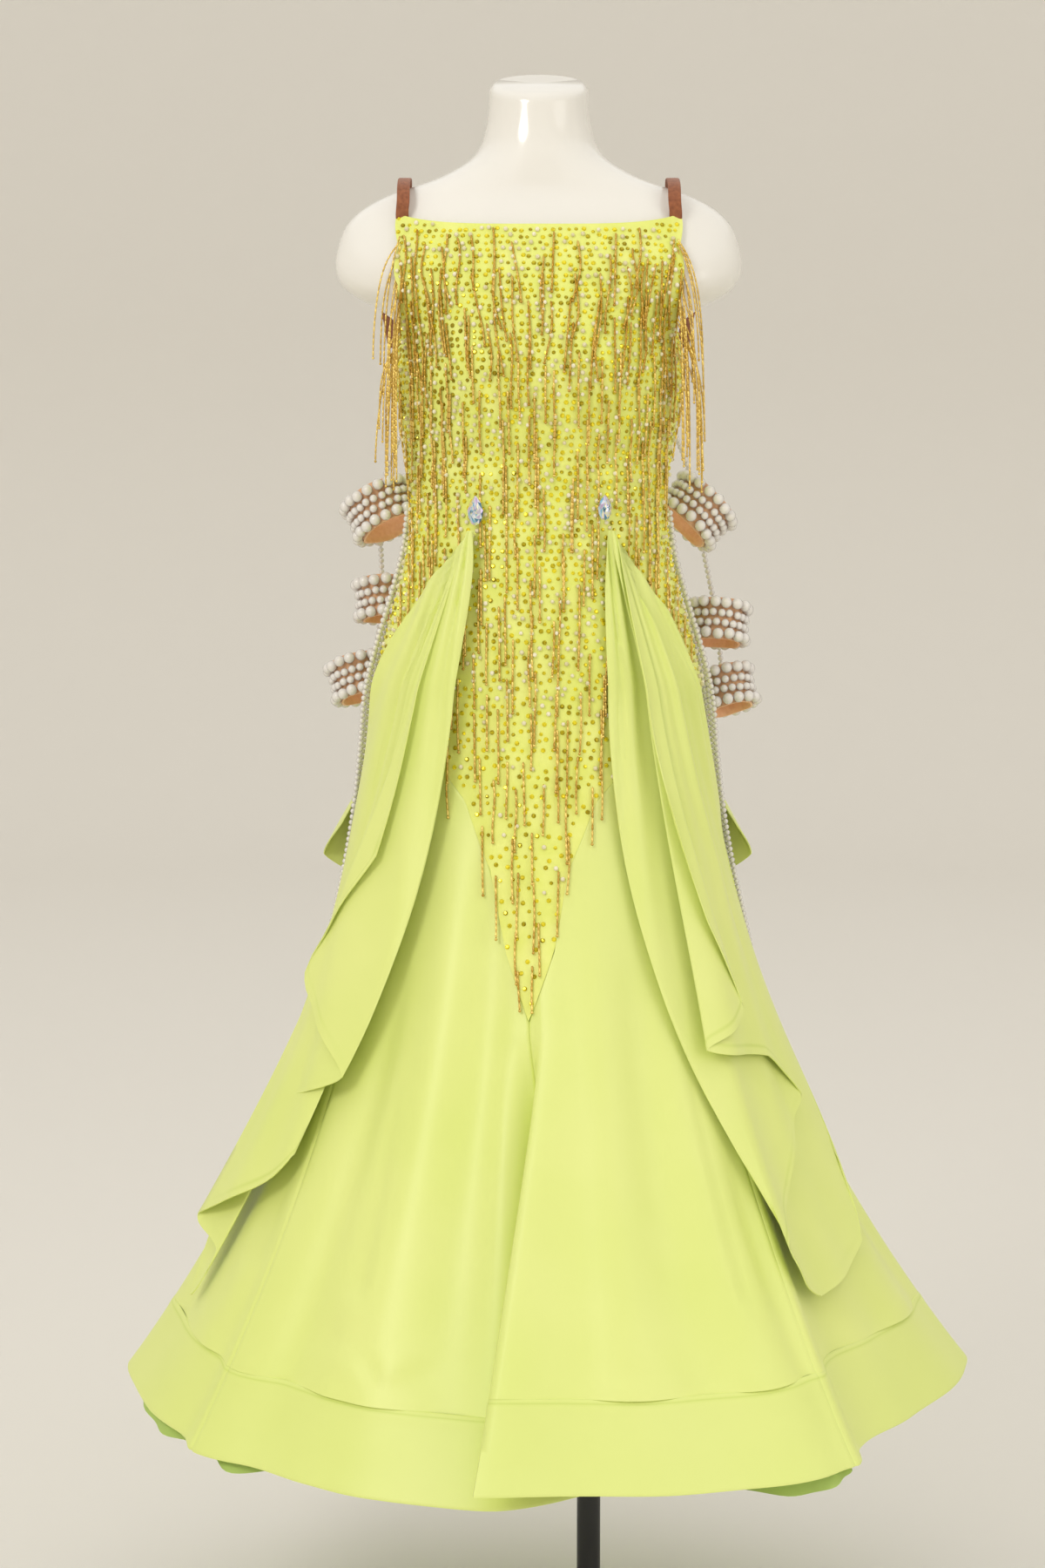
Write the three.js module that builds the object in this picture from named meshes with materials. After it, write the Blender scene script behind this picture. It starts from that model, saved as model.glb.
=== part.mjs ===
// A ballroom dance dress on a limbless dress form with a pole stand.
// Millimetres, +Z up, the dress faces -Y. The origin is the middle of the base plate's underside.
// Azimuths are degrees round the figure: 0 at the front, 90 at the +X side, 180 at the back.
import * as THREE from "three";

// ---- Driving sizes ----------------------------------------------------------------------
const FIGURE_X = -54; // the figure's middle plane, measured from the pole
const FIGURE_RISE = 60; // the levels of the form and the dress are measured from here
const BASE_RADIUS = 170;
const BASE_THICKNESS = 10;
const BASE_CHAMFER = 2;
const POLE_RADIUS = 12.5;
const COLLAR_RADIUS = 20;
const COLLAR_TOP = 36;
const FORM_BOTTOM = 900;
const FORM_TOP = 1605;
const TOUCH_GAP = 0.3; // left between pieces that meet
const EASE = 6.2; // from the form to the outside of the bodice
const BODICE_WALL = 1.5;
const SKIRT_WALL = 2; // measured level, about 1.6 across the sloping cloth
const HIP_Z = 985; // the skirt flares out below this level
const SEAM_Z = 975; // the seam that joins the bodice to the skirt at the sides and back
const PLEAT_TOP = 655; // the centre-front pleat opens below this level
const PLEAT_GROWTH = 1.1;
const FLARE_FRONT = 1.5;
const FLARE_SIDE = 1.9;
const BAND_RISE = 75; // the hem band's height
const BEAD_REACH = 4; // how far the beads stand from the bodice
const DRAPE_WALL = 1.2;
const STRAP_WIDTH = 13;
const STRAP_THICKNESS = 1.4;
const PEARL = 6; // diameter of the pearls on the hanging strands
const STRAND_SIDES = 8;

// The form's level sections.
const FORM_SECTIONS = [
  // z, half width, front depth, back depth, middle y
  { z: 900, half: 146, front: 88, back: 104, middle: 0 },
  { z: 940, half: 159, front: 102, back: 122, middle: 0 },
  { z: 985, half: 163, front: 108, back: 128, middle: 0 },
  { z: 1035, half: 153, front: 107, back: 118, middle: 0 },
  { z: 1080, half: 141, front: 103, back: 104, middle: 0 },
  { z: 1125, half: 130, front: 97, back: 92, middle: 0 },
  { z: 1178, half: 125, front: 93, back: 86, middle: 0 },
  { z: 1225, half: 130, front: 98, back: 92, middle: 0 },
  { z: 1270, half: 137, front: 106, back: 100, middle: 0 },
  { z: 1310, half: 142, front: 110, back: 106, middle: 0 },
  { z: 1350, half: 140, front: 104, back: 108, middle: 0 },
  { z: 1370, half: 158, front: 98, back: 107, middle: 0 },
  { z: 1392, half: 196, front: 90, back: 103, middle: 0 },
  { z: 1412, half: 208, front: 83, back: 98, middle: 1 },
  { z: 1440, half: 205, front: 72, back: 89, middle: 4 },
  { z: 1466, half: 192, front: 62, back: 78, middle: 8 },
  { z: 1488, half: 160, front: 54, back: 66, middle: 12 },
  { z: 1508, half: 104, front: 54, back: 60, middle: 16 },
  { z: 1530, half: 68, front: 54, back: 56, middle: 19 },
  { z: 1560, half: 54, front: 51, back: 52, middle: 20 },
  { z: 1605, half: 50, front: 49, back: 50, middle: 20 },
];
const BUST = { x: 74, z: 1318, reach: 11, wide: 42, high: 48 };
const NECK_TILT = { from: 1520, slope: 0.35 }; // the neck's cut end leans forward

// The bodice's armhole: how far round the front panel reaches at each level.
const FRONT_REACH = [
  { z: 668, azimuth: 90 },
  { z: 1332, azimuth: 90 },
  { z: 1350, azimuth: 74 },
  { z: 1370, azimuth: 58 },
  { z: 1392, azimuth: 44 },
  { z: 1432, azimuth: 41.5 },
  { z: 1475, azimuth: 47.5 },
];
const FRONT_LEVELS = [
  ...[1432, 1412, 1392, 1381, 1370, 1360, 1350, 1341, 1332],
  ...[1285, 1230, 1178, 1125, 1075, 1030, HIP_Z],
];
const NECKLINE = { middle: 1454, side: 1467 };
const BACK_TOP = { side: 1332, middle: 1118 };

// The pointed seam between the bodice and the skirt; turn is how far round it is from the tip.
const YOKE_TIP = -4; // the tip's azimuth
const YOKE = [
  { turn: 0, z: 668 },
  { turn: 7.5, z: 735 },
  { turn: 12, z: 810 },
  { turn: 21.5, z: 879 },
  { turn: 30, z: 905 },
  { turn: 45, z: 936 },
  { turn: 66, z: 960 },
  { turn: 90, z: SEAM_Z },
];

// The skirt's hem, fold by fold, from the middle of the back round by the -X side.
// A row marked pleat belongs to the folded centre-front pleat.
const HEM = [
  { azimuth: -180, x: -12, y: 345, z: 262, pleat: false },
  { azimuth: -162, x: -96, y: 398, z: 262, pleat: false },
  { azimuth: -147, x: -188, y: 338, z: 262, pleat: false },
  { azimuth: -132, x: -288, y: 342, z: 262, pleat: false },
  { azimuth: -118, x: -330, y: 238, z: 262, pleat: false },
  { azimuth: -105, x: -418, y: 168, z: 262, pleat: false },
  { azimuth: -98, x: -404, y: 88, z: 262, pleat: false },
  { azimuth: -90, x: -438, y: 20, z: 262, pleat: false },
  { azimuth: -76, x: -400, y: -122, z: 258, pleat: false },
  { azimuth: -65, x: -352, y: -204, z: 254, pleat: false },
  { azimuth: -58, x: -342, y: -236, z: 250, pleat: false },
  { azimuth: -44, x: -266, y: -296, z: 250, pleat: false },
  { azimuth: -26, x: -160, y: -362, z: 246, pleat: false },
  { azimuth: -12, x: -44, y: -391, z: 244, pleat: false },
  { azimuth: -4, x: 58, y: -325, z: 242, pleat: true },
  { azimuth: 0, x: -63, y: -445, z: 276, pleat: true },
  { azimuth: 10, x: 58, y: -430, z: 272, pleat: false },
  { azimuth: 27, x: 190, y: -408, z: 270, pleat: false },
  { azimuth: 45, x: 298, y: -355, z: 274, pleat: false },
  { azimuth: 53, x: 308, y: -296, z: 272, pleat: false },
  { azimuth: 66, x: 372, y: -186, z: 268, pleat: false },
  { azimuth: 90, x: 462, y: 40, z: 262, pleat: false },
  { azimuth: 100, x: 408, y: 132, z: 262, pleat: false },
  { azimuth: 112, x: 402, y: 232, z: 262, pleat: false },
  { azimuth: 127, x: 300, y: 272, z: 262, pleat: false },
  { azimuth: 143, x: 236, y: 384, z: 262, pleat: false },
  { azimuth: 157, x: 122, y: 338, z: 262, pleat: false },
  { azimuth: 170, x: 72, y: 396, z: 262, pleat: false },
  { azimuth: 180, x: -12, y: 345, z: 262, pleat: false },
];
const GORE_SEAMS = [-180, -90, -58, YOKE_TIP, 45, 90, 180];
const GORE_NAMES = ["back_left", "side_left", "front_left", "front_right", "side_right", "back_right"];
const BACK_STEP = 75; // the widest column of cloth at the back of the hem
const CLOSEST_COLUMNS = 3; // degrees between a fold and a mark of the yoke seam

// ---- Small helpers ----------------------------------------------------------------------
const radians = THREE.MathUtils.degToRad;
const mix = THREE.MathUtils.lerp;
const clamp = THREE.MathUtils.clamp;

const range = (count) => Array.from({ length: count + 1 }, (_, i) => i / count);

/** A smooth curve through a table's rows: the value of one column at a place along another. */
function tableAt(rows, along, column, place) {
  const last = rows.length - 1;
  const at = clamp(place, rows[0][along], rows[last][along]);
  let i = rows.findIndex((row, k) => k < last && at <= rows[k + 1][along]);
  i = Math.max(0, i);
  const slope = (k) => {
    const a = Math.max(0, k - 1);
    const b = Math.min(last, k + 1);
    return (rows[b][column] - rows[a][column]) / (rows[b][along] - rows[a][along]);
  };
  const width = rows[i + 1][along] - rows[i][along];
  const t = (at - rows[i][along]) / width;
  const [t2, t3] = [t * t, t * t * t];
  return (
    (2 * t3 - 3 * t2 + 1) * rows[i][column] +
    (t3 - 2 * t2 + t) * width * slope(i) +
    (3 * t2 - 2 * t3) * rows[i + 1][column] +
    (t3 - t2) * width * slope(i + 1)
  );
}

/** Straight lines through a table's rows. */
function lineAt(rows, along, column, place) {
  const last = rows.length - 1;
  const at = clamp(place, rows[0][along], rows[last][along]);
  const i = Math.max(0, rows.findIndex((row, k) => k < last && at <= rows[k + 1][along]));
  const t = (at - rows[i][along]) / (rows[i + 1][along] - rows[i][along]);
  return mix(rows[i][column], rows[i + 1][column], t);
}

// ---- The figure and the dress as surfaces -----------------------------------------------
/** A point on the form, or this far out from it. */
function formPoint(azimuth, z, out = 0) {
  const section = (column) => tableAt(FORM_SECTIONS, "z", column, z);
  const angle = radians(azimuth);
  const ahead = Math.cos(angle);
  const depth = ahead > 0 ? section("front") : section("back");
  const x = (section("half") + out) * Math.sin(angle);
  const rise = Math.exp(-(((z - BUST.z) / BUST.high) ** 2));
  const across = Math.exp(-(((Math.abs(x) - BUST.x) / BUST.wide) ** 2));
  const bust = BUST.reach * rise * across * Math.max(0, ahead) ** 0.7;
  const y = section("middle") - (depth + out + bust) * ahead;
  return new THREE.Vector3(x, y, z);
}

/** A smooth closed curve through hem rows, at an azimuth, with even speed between the rows. */
function hemAt(rows, azimuth) {
  const count = rows.length - 1;
  let i = rows.findIndex((row, k) => k < count && azimuth <= rows[k + 1].azimuth);
  i = Math.max(0, i);
  const point = (k) => {
    const row = rows[(k + count) % count];
    return new THREE.Vector3(row.x, row.y, row.z);
  };
  const t = (azimuth - rows[i].azimuth) / (rows[i + 1].azimuth - rows[i].azimuth);
  const [p0, p1, p2, p3] = [point(i - 1), point(i), point(i + 1), point(i + 2)];
  const knot = (a, b) => Math.sqrt(a.distanceTo(b));
  const t1 = knot(p0, p1);
  const t2 = t1 + knot(p1, p2);
  const t3 = t2 + knot(p2, p3);
  const at = mix(t1, t2, t);
  const blend = (a, b, from, to) => a.clone().lerp(b, (at - from) / (to - from));
  const a1 = blend(p0, p1, 0, t1);
  const a2 = blend(p1, p2, t1, t2);
  const a3 = blend(p2, p3, t2, t3);
  return blend(blend(a1, a2, 0, t2), blend(a2, a3, t1, t3), t1, t2);
}

const PLAIN_HEM = HEM.filter((row) => !row.pleat);

/** How much of the way from hip to hem the skirt has flared at a share of its length. */
function flare(azimuth, share) {
  const ahead = Math.max(0, Math.cos(radians(azimuth)));
  return Math.max(0, share) ** mix(FLARE_SIDE, FLARE_FRONT, ahead * ahead);
}

/** A point on the dress: on the bodice above the hip seam, on the skirt below it. */
function dressPoint(azimuth, z, pleated = true) {
  if (z >= HIP_Z) return formPoint(azimuth, z, EASE);
  const hip = formPoint(azimuth, HIP_Z, EASE);
  const plain = hemAt(PLAIN_HEM, azimuth);
  const full = pleated ? hemAt(HEM, azimuth) : plain;
  const share = (HIP_Z - z) / (HIP_Z - full.z);
  const point = hip.lerp(plain, flare(azimuth, share));
  const opened = Math.max(0, (PLEAT_TOP - z) / (PLEAT_TOP - full.z)) ** PLEAT_GROWTH;
  point.addScaledVector(full.clone().sub(plain), opened);
  return point.setZ(z);
}

/** The level direction straight out of the dress. */
function outward(azimuth, z, pleated = true) {
  const step = 0.4;
  const here = dressPoint(azimuth, z, pleated);
  const before = here.clone().sub(dressPoint(azimuth - step, z, pleated)).setZ(0).normalize();
  const after = dressPoint(azimuth + step, z, pleated).sub(here).setZ(0).normalize();
  const along = before.add(after);
  return new THREE.Vector3(along.y, -along.x, 0).normalize();
}

/** The direction straight out of the smooth hip, which drapes and ruffles are moved along. */
function clearOut(azimuth) {
  const angle = radians(azimuth);
  const half = tableAt(FORM_SECTIONS, "z", "half", HIP_Z);
  const depth = tableAt(FORM_SECTIONS, "z", Math.cos(angle) > 0 ? "front" : "back", HIP_Z);
  return new THREE.Vector3(Math.sin(angle) / half, -Math.cos(angle) / depth, 0).normalize();
}

// ---- Solids from sheets of points -------------------------------------------------------
/** Vertices and faces, turned so that the faces point out. */
function solid(points, faces) {
  let volume = 0;
  for (const [a, b, c] of faces) {
    volume += points[a].dot(new THREE.Vector3().crossVectors(points[b], points[c]));
  }
  const turned = volume < 0 ? faces.map(([a, b, c]) => [a, c, b]) : faces;
  const geometry = new THREE.BufferGeometry();
  const flat = points.flatMap((p) => [p.x, p.y, p.z]);
  geometry.setAttribute("position", new THREE.Float32BufferAttribute(flat, 3));
  geometry.setIndex(turned.flat());
  geometry.computeVertexNormals();
  return geometry;
}

/** A cloth wall: its sheet and its lining are columns of points. */
function wall(sheet, lining) {
  const columns = sheet.length;
  const rows = sheet[0].length;
  const points = [...sheet.flat(), ...lining.flat()];
  const back = columns * rows;
  const id = (i, j) => i * rows + j;
  const faces = [];
  const quad = (a, b, c, d) => faces.push([a, b, c], [a, c, d]);
  for (let i = 0; i < columns - 1; i++) {
    for (let j = 0; j < rows - 1; j++) {
      quad(id(i, j), id(i, j + 1), id(i + 1, j + 1), id(i + 1, j));
      quad(back + id(i, j), back + id(i + 1, j), back + id(i + 1, j + 1), back + id(i, j + 1));
    }
    quad(id(i, 0), id(i + 1, 0), back + id(i + 1, 0), back + id(i, 0));
    const foot = rows - 1;
    quad(id(i, foot), back + id(i, foot), back + id(i + 1, foot), id(i + 1, foot));
  }
  const end = columns - 1;
  for (let j = 0; j < rows - 1; j++) {
    quad(id(0, j), back + id(0, j), back + id(0, j + 1), id(0, j + 1));
    quad(id(end, j), id(end, j + 1), back + id(end, j + 1), back + id(end, j));
  }
  return solid(points, faces);
}

/** The sheet with its edges drawn in by half the gap between pieces. */
function drawnIn(sheet) {
  const gap = (TOUCH_GAP + 0.1) / 2;
  const moved = sheet.map((column) => column.map((point) => point.clone()));
  const pull = (point, toward) => point.addScaledVector(toward.clone().sub(point).normalize(), gap);
  const last = sheet.length - 1;
  const foot = sheet[0].length - 1;
  sheet.forEach((column, i) => {
    pull(moved[i][0], column[1]);
    pull(moved[i][foot], column[foot - 1]);
  });
  for (let j = 0; j <= foot; j++) {
    pull(moved[0][j], sheet[1][j]);
    pull(moved[last][j], sheet[last - 1][j]);
  }
  return moved;
}

/** The second face of a sheet, this far behind it, square to the sheet. */
function behind(sheet, thickness) {
  const last = sheet.length - 1;
  const foot = sheet[0].length - 1;
  const cell = (i, j) => {
    const across = sheet[i + 1][j].clone().sub(sheet[i][j]);
    across.add(sheet[i + 1][j + 1]).sub(sheet[i][j + 1]);
    const down = sheet[i][j + 1].clone().sub(sheet[i][j]);
    down.add(sheet[i + 1][j + 1]).sub(sheet[i + 1][j]);
    return across.cross(down).normalize();
  };
  return sheet.map((column, i) =>
    column.map((point, j) => {
      const normal = new THREE.Vector3();
      for (const a of [i - 1, i]) {
        for (const b of [j - 1, j]) {
          if (a >= 0 && a < last && b >= 0 && b < foot) normal.add(cell(a, b));
        }
      }
      return point.clone().addScaledVector(normal.normalize(), -thickness);
    }),
  );
}

// ---- Materials --------------------------------------------------------------------------
const material = (color, roughness, metalness = 0) =>
  new THREE.MeshStandardMaterial({ color, roughness, metalness });
const materials = {
  form: material(0xf1eee6, 0.22),
  steel: material(0x151515, 0.45, 0.3),
  satin: material(0xe0f56a, 0.42),
  stretch: material(0xd8ee5a, 0.6),
  beads: material(0xb8902c, 0.3, 0.4),
  elastic: material(0x7c3f26, 0.75),
  band: material(0xd9955f, 0.7),
  pearl: material(0xe9e4d8, 0.25),
  crystal: material(0xbfd4e6, 0.05),
};

const dress = new THREE.Group();
dress.position.set(FIGURE_X, 0, FIGURE_RISE);
const stand = new THREE.Group();
const object = new THREE.Group();
object.add(dress, stand);

function add(group, name, geometry, finish) {
  const mesh = new THREE.Mesh(geometry, finish);
  mesh.name = name;
  group.add(mesh);
  return mesh;
}

// ---- Stand and form ---------------------------------------------------------------------
function addLathe(name, profile, sides, finish) {
  const geometry = new THREE.LatheGeometry(profile.map(([r, z]) => new THREE.Vector2(r, z)), sides);
  geometry.rotateX(Math.PI / 2);
  return add(stand, name, geometry, finish);
}

addLathe(
  "stand_base",
  [
    [0, 0],
    [BASE_RADIUS - BASE_CHAMFER, 0],
    [BASE_RADIUS, BASE_CHAMFER],
    [BASE_RADIUS, BASE_THICKNESS - BASE_CHAMFER],
    [BASE_RADIUS - BASE_CHAMFER, BASE_THICKNESS],
    [0, BASE_THICKNESS],
  ],
  40,
  materials.steel,
);
addLathe(
  "stand_pole",
  [
    [0, BASE_THICKNESS + TOUCH_GAP],
    [COLLAR_RADIUS, BASE_THICKNESS + TOUCH_GAP],
    [COLLAR_RADIUS, COLLAR_TOP],
    [POLE_RADIUS, COLLAR_TOP],
    [POLE_RADIUS, FIGURE_RISE + FORM_BOTTOM - TOUCH_GAP],
    [0, FIGURE_RISE + FORM_BOTTOM - TOUCH_GAP],
  ],
  20,
  materials.steel,
);

function formGeometry() {
  const sides = 26;
  const levels = [900, 940, ...FRONT_LEVELS.toReversed(), 1450, 1470, 1488, 1508, 1530, 1560, FORM_TOP];
  const points = [];
  for (const z of levels) {
    for (let i = 0; i < sides; i++) {
      const point = formPoint((360 * i) / sides, z);
      const lean = NECK_TILT.slope * clamp((z - NECK_TILT.from) / (FORM_TOP - NECK_TILT.from), 0, 1);
      const middle = tableAt(FORM_SECTIONS, "z", "middle", z);
      point.z += lean * (point.y - middle);
      points.push(point);
    }
  }
  const faces = [];
  const id = (i, j) => j * sides + (i % sides);
  for (let j = 0; j < levels.length - 1; j++) {
    for (let i = 0; i < sides; i++) {
      faces.push([id(i, j), id(i + 1, j), id(i + 1, j + 1)], [id(i, j), id(i + 1, j + 1), id(i, j + 1)]);
    }
  }
  const top = levels.length - 1;
  const foot = points.push(new THREE.Vector3(0, 0, FORM_BOTTOM)) - 1;
  const crown = points.push(new THREE.Vector3(0, FORM_SECTIONS.at(-1).middle, FORM_TOP)) - 1;
  for (let i = 0; i < sides; i++) {
    faces.push([foot, id(i + 1, 0), id(i, 0)], [crown, id(i, top), id(i + 1, top)]);
  }
  return solid(points, faces);
}
add(dress, "form_torso", formGeometry(), materials.form);

// ---- Bodice -----------------------------------------------------------------------------
/** The yoke seam's level; both of its arms reach the side seams, whatever the tip's azimuth. */
function yokeZ(azimuth) {
  const away = azimuth - YOKE_TIP;
  const arm = away < 0 ? 90 + YOKE_TIP : 90 - YOKE_TIP;
  return lineAt(YOKE, "turn", "z", (90 * Math.abs(away)) / arm);
}

const yokeMarks = YOKE.flatMap(({ turn }) => [
  YOKE_TIP - (turn * (90 + YOKE_TIP)) / 90,
  YOKE_TIP + (turn * (90 - YOKE_TIP)) / 90,
]);

/** Azimuths of the cloth's columns: every row of the hem and yoke tables, and steps between them. */
function columnsBetween(from, to) {
  const folds = HEM.map((row) => row.azimuth);
  const isApart = (azimuth) => folds.every((fold) => Math.abs(fold - azimuth) > CLOSEST_COLUMNS);
  const marks = [...folds, ...yokeMarks.filter(isApart)];
  const sorted = marks.filter((azimuth) => azimuth >= from && azimuth <= to).sort((a, b) => a - b);
  const azimuths = [sorted[0]];
  for (let i = 1; i < sorted.length; i++) {
    const chord = hemAt(HEM, sorted[i - 1]).distanceTo(hemAt(HEM, sorted[i]));
    const isBack = Math.abs(sorted[i - 1] + sorted[i]) > 180;
    const steps = isBack ? Math.ceil(chord / BACK_STEP) : 1;
    for (let k = 1; k <= steps; k++) azimuths.push(mix(sorted[i - 1], sorted[i], k / steps));
  }
  return azimuths;
}

/** The front bodice panel as a sheet, moved out by a distance. */
function bodiceFront(out) {
  return columnsBetween(-90, 90).map((column) => {
    const side = column / 90;
    const top = mix(NECKLINE.middle, NECKLINE.side, side * side);
    const below = range(2).map((share) => mix(HIP_Z, yokeZ(column), share));
    const levels = [top, ...FRONT_LEVELS, ...below.slice(1)];
    return levels.map((z) => {
      const azimuth = side * lineAt(FRONT_REACH, "z", "azimuth", z);
      return dressPoint(azimuth, z).addScaledVector(outward(azimuth, z), out);
    });
  });
}

function bodiceBack(out) {
  return range(16).map((share) => {
    const azimuth = mix(90, 270, share);
    const top = mix(BACK_TOP.side, BACK_TOP.middle, Math.sin(Math.PI * share) ** 1.2);
    return range(9).map((down) => {
      const z = mix(top, SEAM_Z, down);
      const turned = azimuth > 180 ? azimuth - 360 : azimuth;
      return dressPoint(turned, z).addScaledVector(outward(turned, z), out);
    });
  });
}

const panels = { bodice_front: bodiceFront, bodice_back: bodiceBack };
for (const [name, panel] of Object.entries(panels)) {
  const cloth = wall(drawnIn(panel(0)), drawnIn(panel(-BODICE_WALL)));
  add(dress, name, cloth, materials.stretch);
}
const beadSheet = (out) => drawnIn(bodiceFront(out).slice(1, -1));
const beadGap = TOUCH_GAP + 0.3;
add(dress, "bead_fringe", wall(beadSheet(beadGap + BEAD_REACH), beadSheet(beadGap)), materials.beads);

// ---- Skirt ------------------------------------------------------------------------------
const hemZ = (azimuth) => hemAt(HEM, azimuth).z;

/** A stretch of skirt between two level functions, as columns of points. */
function skirtSheet(azimuths, topZ, footZ, rows, out) {
  return azimuths.map((azimuth) =>
    rows.map((share) => {
      const z = mix(topZ(azimuth), footZ(azimuth), share);
      return dressPoint(azimuth, z).addScaledVector(outward(azimuth, z), out);
    }),
  );
}

GORE_NAMES.forEach((name, k) => {
  const azimuths = columnsBetween(GORE_SEAMS[k], GORE_SEAMS[k + 1]);
  const bandZ = (azimuth) => hemZ(azimuth) + BAND_RISE;
  const gore = (out) => drawnIn(skirtSheet(azimuths, yokeZ, bandZ, range(6), out));
  const band = (out) => drawnIn(skirtSheet(azimuths, bandZ, hemZ, range(1), out));
  add(dress, `skirt_${name}`, wall(gore(0), gore(-SKIRT_WALL)), materials.satin);
  add(dress, `hem_band_${name}`, wall(band(0), band(-SKIRT_WALL)), materials.satin);
});

// ---- Underskirt -------------------------------------------------------------------------
// Its hem, lower or higher than the skirt's.
const UNDERSKIRT_TOP = 620;
const UNDERSKIRT_WALL = 1.5;
const UNDERSKIRT_SEAMS = [-180, -90, 0, 90, 180];
const UNDERSKIRT_NAMES = ["back_left", "front_left", "front_right", "back_right"];
const UNDERSKIRT_INSET = { top: 6, foot: 15, pleatTop: 26, pleatFoot: 95, pleatWide: 22 };
const UNDERSKIRT_HEM = [
  { azimuth: -180, drop: 4 },
  { azimuth: -150, drop: -6 },
  { azimuth: -120, drop: 6 },
  { azimuth: -92, drop: -4 },
  { azimuth: -72, drop: 16 },
  { azimuth: -58, drop: -2 },
  { azimuth: -49, drop: 12 },
  { azimuth: -38, drop: -12 },
  { azimuth: -10, drop: -24 },
  { azimuth: 18, drop: -6 },
  { azimuth: 34, drop: 16 },
  { azimuth: 44, drop: 10 },
  { azimuth: 60, drop: -8 },
  { azimuth: 95, drop: 2 },
  { azimuth: 130, drop: -6 },
  { azimuth: 180, drop: 4 },
];

function underskirt(from, to, thickness) {
  return columnsBetween(from, to).map((azimuth) => {
    const foot = hemAt(PLAIN_HEM, azimuth).z - tableAt(UNDERSKIRT_HEM, "azimuth", "drop", azimuth);
    const atPleat = Math.exp(-((azimuth / UNDERSKIRT_INSET.pleatWide) ** 2));
    const topInset = UNDERSKIRT_INSET.top + UNDERSKIRT_INSET.pleatTop * atPleat;
    const footInset = UNDERSKIRT_INSET.foot + UNDERSKIRT_INSET.pleatFoot * atPleat;
    return range(3).map((share) => {
      const z = mix(UNDERSKIRT_TOP, foot, share);
      const inset = mix(topInset, footInset, share) + thickness;
      return dressPoint(azimuth, z, false).addScaledVector(outward(azimuth, z, false), -inset);
    });
  });
}
UNDERSKIRT_NAMES.forEach((name, k) => {
  const panel = (thickness) => drawnIn(underskirt(UNDERSKIRT_SEAMS[k], UNDERSKIRT_SEAMS[k + 1], thickness));
  add(dress, `underskirt_${name}`, wall(panel(0), panel(UNDERSKIRT_WALL)), materials.satin);
});

// ---- Drapes and back ruffles ------------------------------------------------------------
// A sheet gathered at a point and hung in folds: each row is a fold line, from the gathers
// through the middle of its run to the hem. Top, mid and end are azimuths, and out is each
// one's distance from the dress.
const GATHER_Z = 1148;
const DRAPE_LEFT = [
  { fold: "upper_hem", top: -32, mid: -39.8, midZ: 983, end: -49, endZ: 823, out: [21, 31, 40] },
  { fold: "upper_corner", top: -32, mid: -48.4, midZ: 921, end: -75.1, endZ: 696, out: [19.5, 28, 36] },
  { fold: "inner_corner", top: -25, mid: -31.2, midZ: 871, end: -48.5, endZ: 606, out: [17, 23.5, 28] },
  { fold: "middle_crest", top: -32, mid: -57.1, midZ: 850, end: -79.6, endZ: 563, out: [15, 19.5, 23] },
  { fold: "middle_tuck", top: -25.5, mid: -41.7, midZ: 831, end: -59, endZ: 525, out: [13, 16.5, 19] },
  { fold: "lower_crest", top: -32, mid: -73, midZ: 803, end: -82.7, endZ: 440, out: [11, 14, 38] },
  { fold: "lower_tuck", top: -26, mid: -58.4, midZ: 781, end: -77.5, endZ: 411, out: [9.4, 11.5, 14] },
  { fold: "lowest_tip", top: -32, mid: -67.4, midZ: 758, end: -79.5, endZ: 362, out: [7.8, 9, 10] },
  { fold: "side_lobe", top: -34, mid: -79, midZ: 830, end: -88, endZ: 505, out: [8.4, 10.5, 15] },
  { fold: "side_hem", top: -36, mid: -88, midZ: 900, end: -92, endZ: 650, out: [8.6, 11, 12] },
];
const DRAPE_RIGHT = [
  { fold: "upper_hem", top: 33, mid: 33.5, midZ: 1009, end: 39.3, endZ: 870, out: [21, 31, 39] },
  { fold: "upper_edge", top: 33, mid: 36.9, midZ: 953, end: 45.2, endZ: 760, out: [20, 30, 39] },
  { fold: "upper_corner", top: 33.5, mid: 43.4, midZ: 905, end: 55.2, endZ: 671, out: [19, 28.5, 37] },
  { fold: "inner_corner", top: 29, mid: 38.4, midZ: 884, end: 37.6, endZ: 641, out: [17, 24, 30] },
  { fold: "second_edge", top: 32, mid: 50.1, midZ: 869, end: 62.7, endZ: 620, out: [15.5, 21, 26] },
  { fold: "second_crest", top: 34, mid: 61.2, midZ: 858, end: 72.9, endZ: 573, out: [14.5, 18.5, 23] },
  { fold: "front_top", top: 32.5, mid: 57.8, midZ: 838, end: 67.3, endZ: 550, out: [13.5, 16.5, 20] },
  { fold: "front_edge", top: 31, mid: 49, midZ: 810, end: 56.9, endZ: 498, out: [12.5, 14.5, 21] },
  { fold: "front_foot", top: 29.5, mid: 40.3, midZ: 785, end: 45.6, endZ: 456, out: [11.5, 13, 20] },
  { fold: "lowest_tip", top: 27, mid: 26.7, midZ: 778, end: 56.3, endZ: 400, out: [10, 11, 16] },
  { fold: "ruffle_corner", top: 32, mid: 76.9, midZ: 778, end: 73.2, endZ: 424, out: [8, 8.5, 16] },
  { fold: "ruffle_edge", top: 34, mid: 83.8, midZ: 812, end: 79.6, endZ: 504, out: [7.8, 8.5, 15] },
  { fold: "side_lobe", top: 36, mid: 82, midZ: 850, end: 86, endZ: 540, out: [7.8, 9, 11] },
  { fold: "side_hem", top: 38, mid: 88, midZ: 880, end: 91, endZ: 650, out: [7.8, 9, 12] },
];
const RUFFLE_Z = 968;
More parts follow.
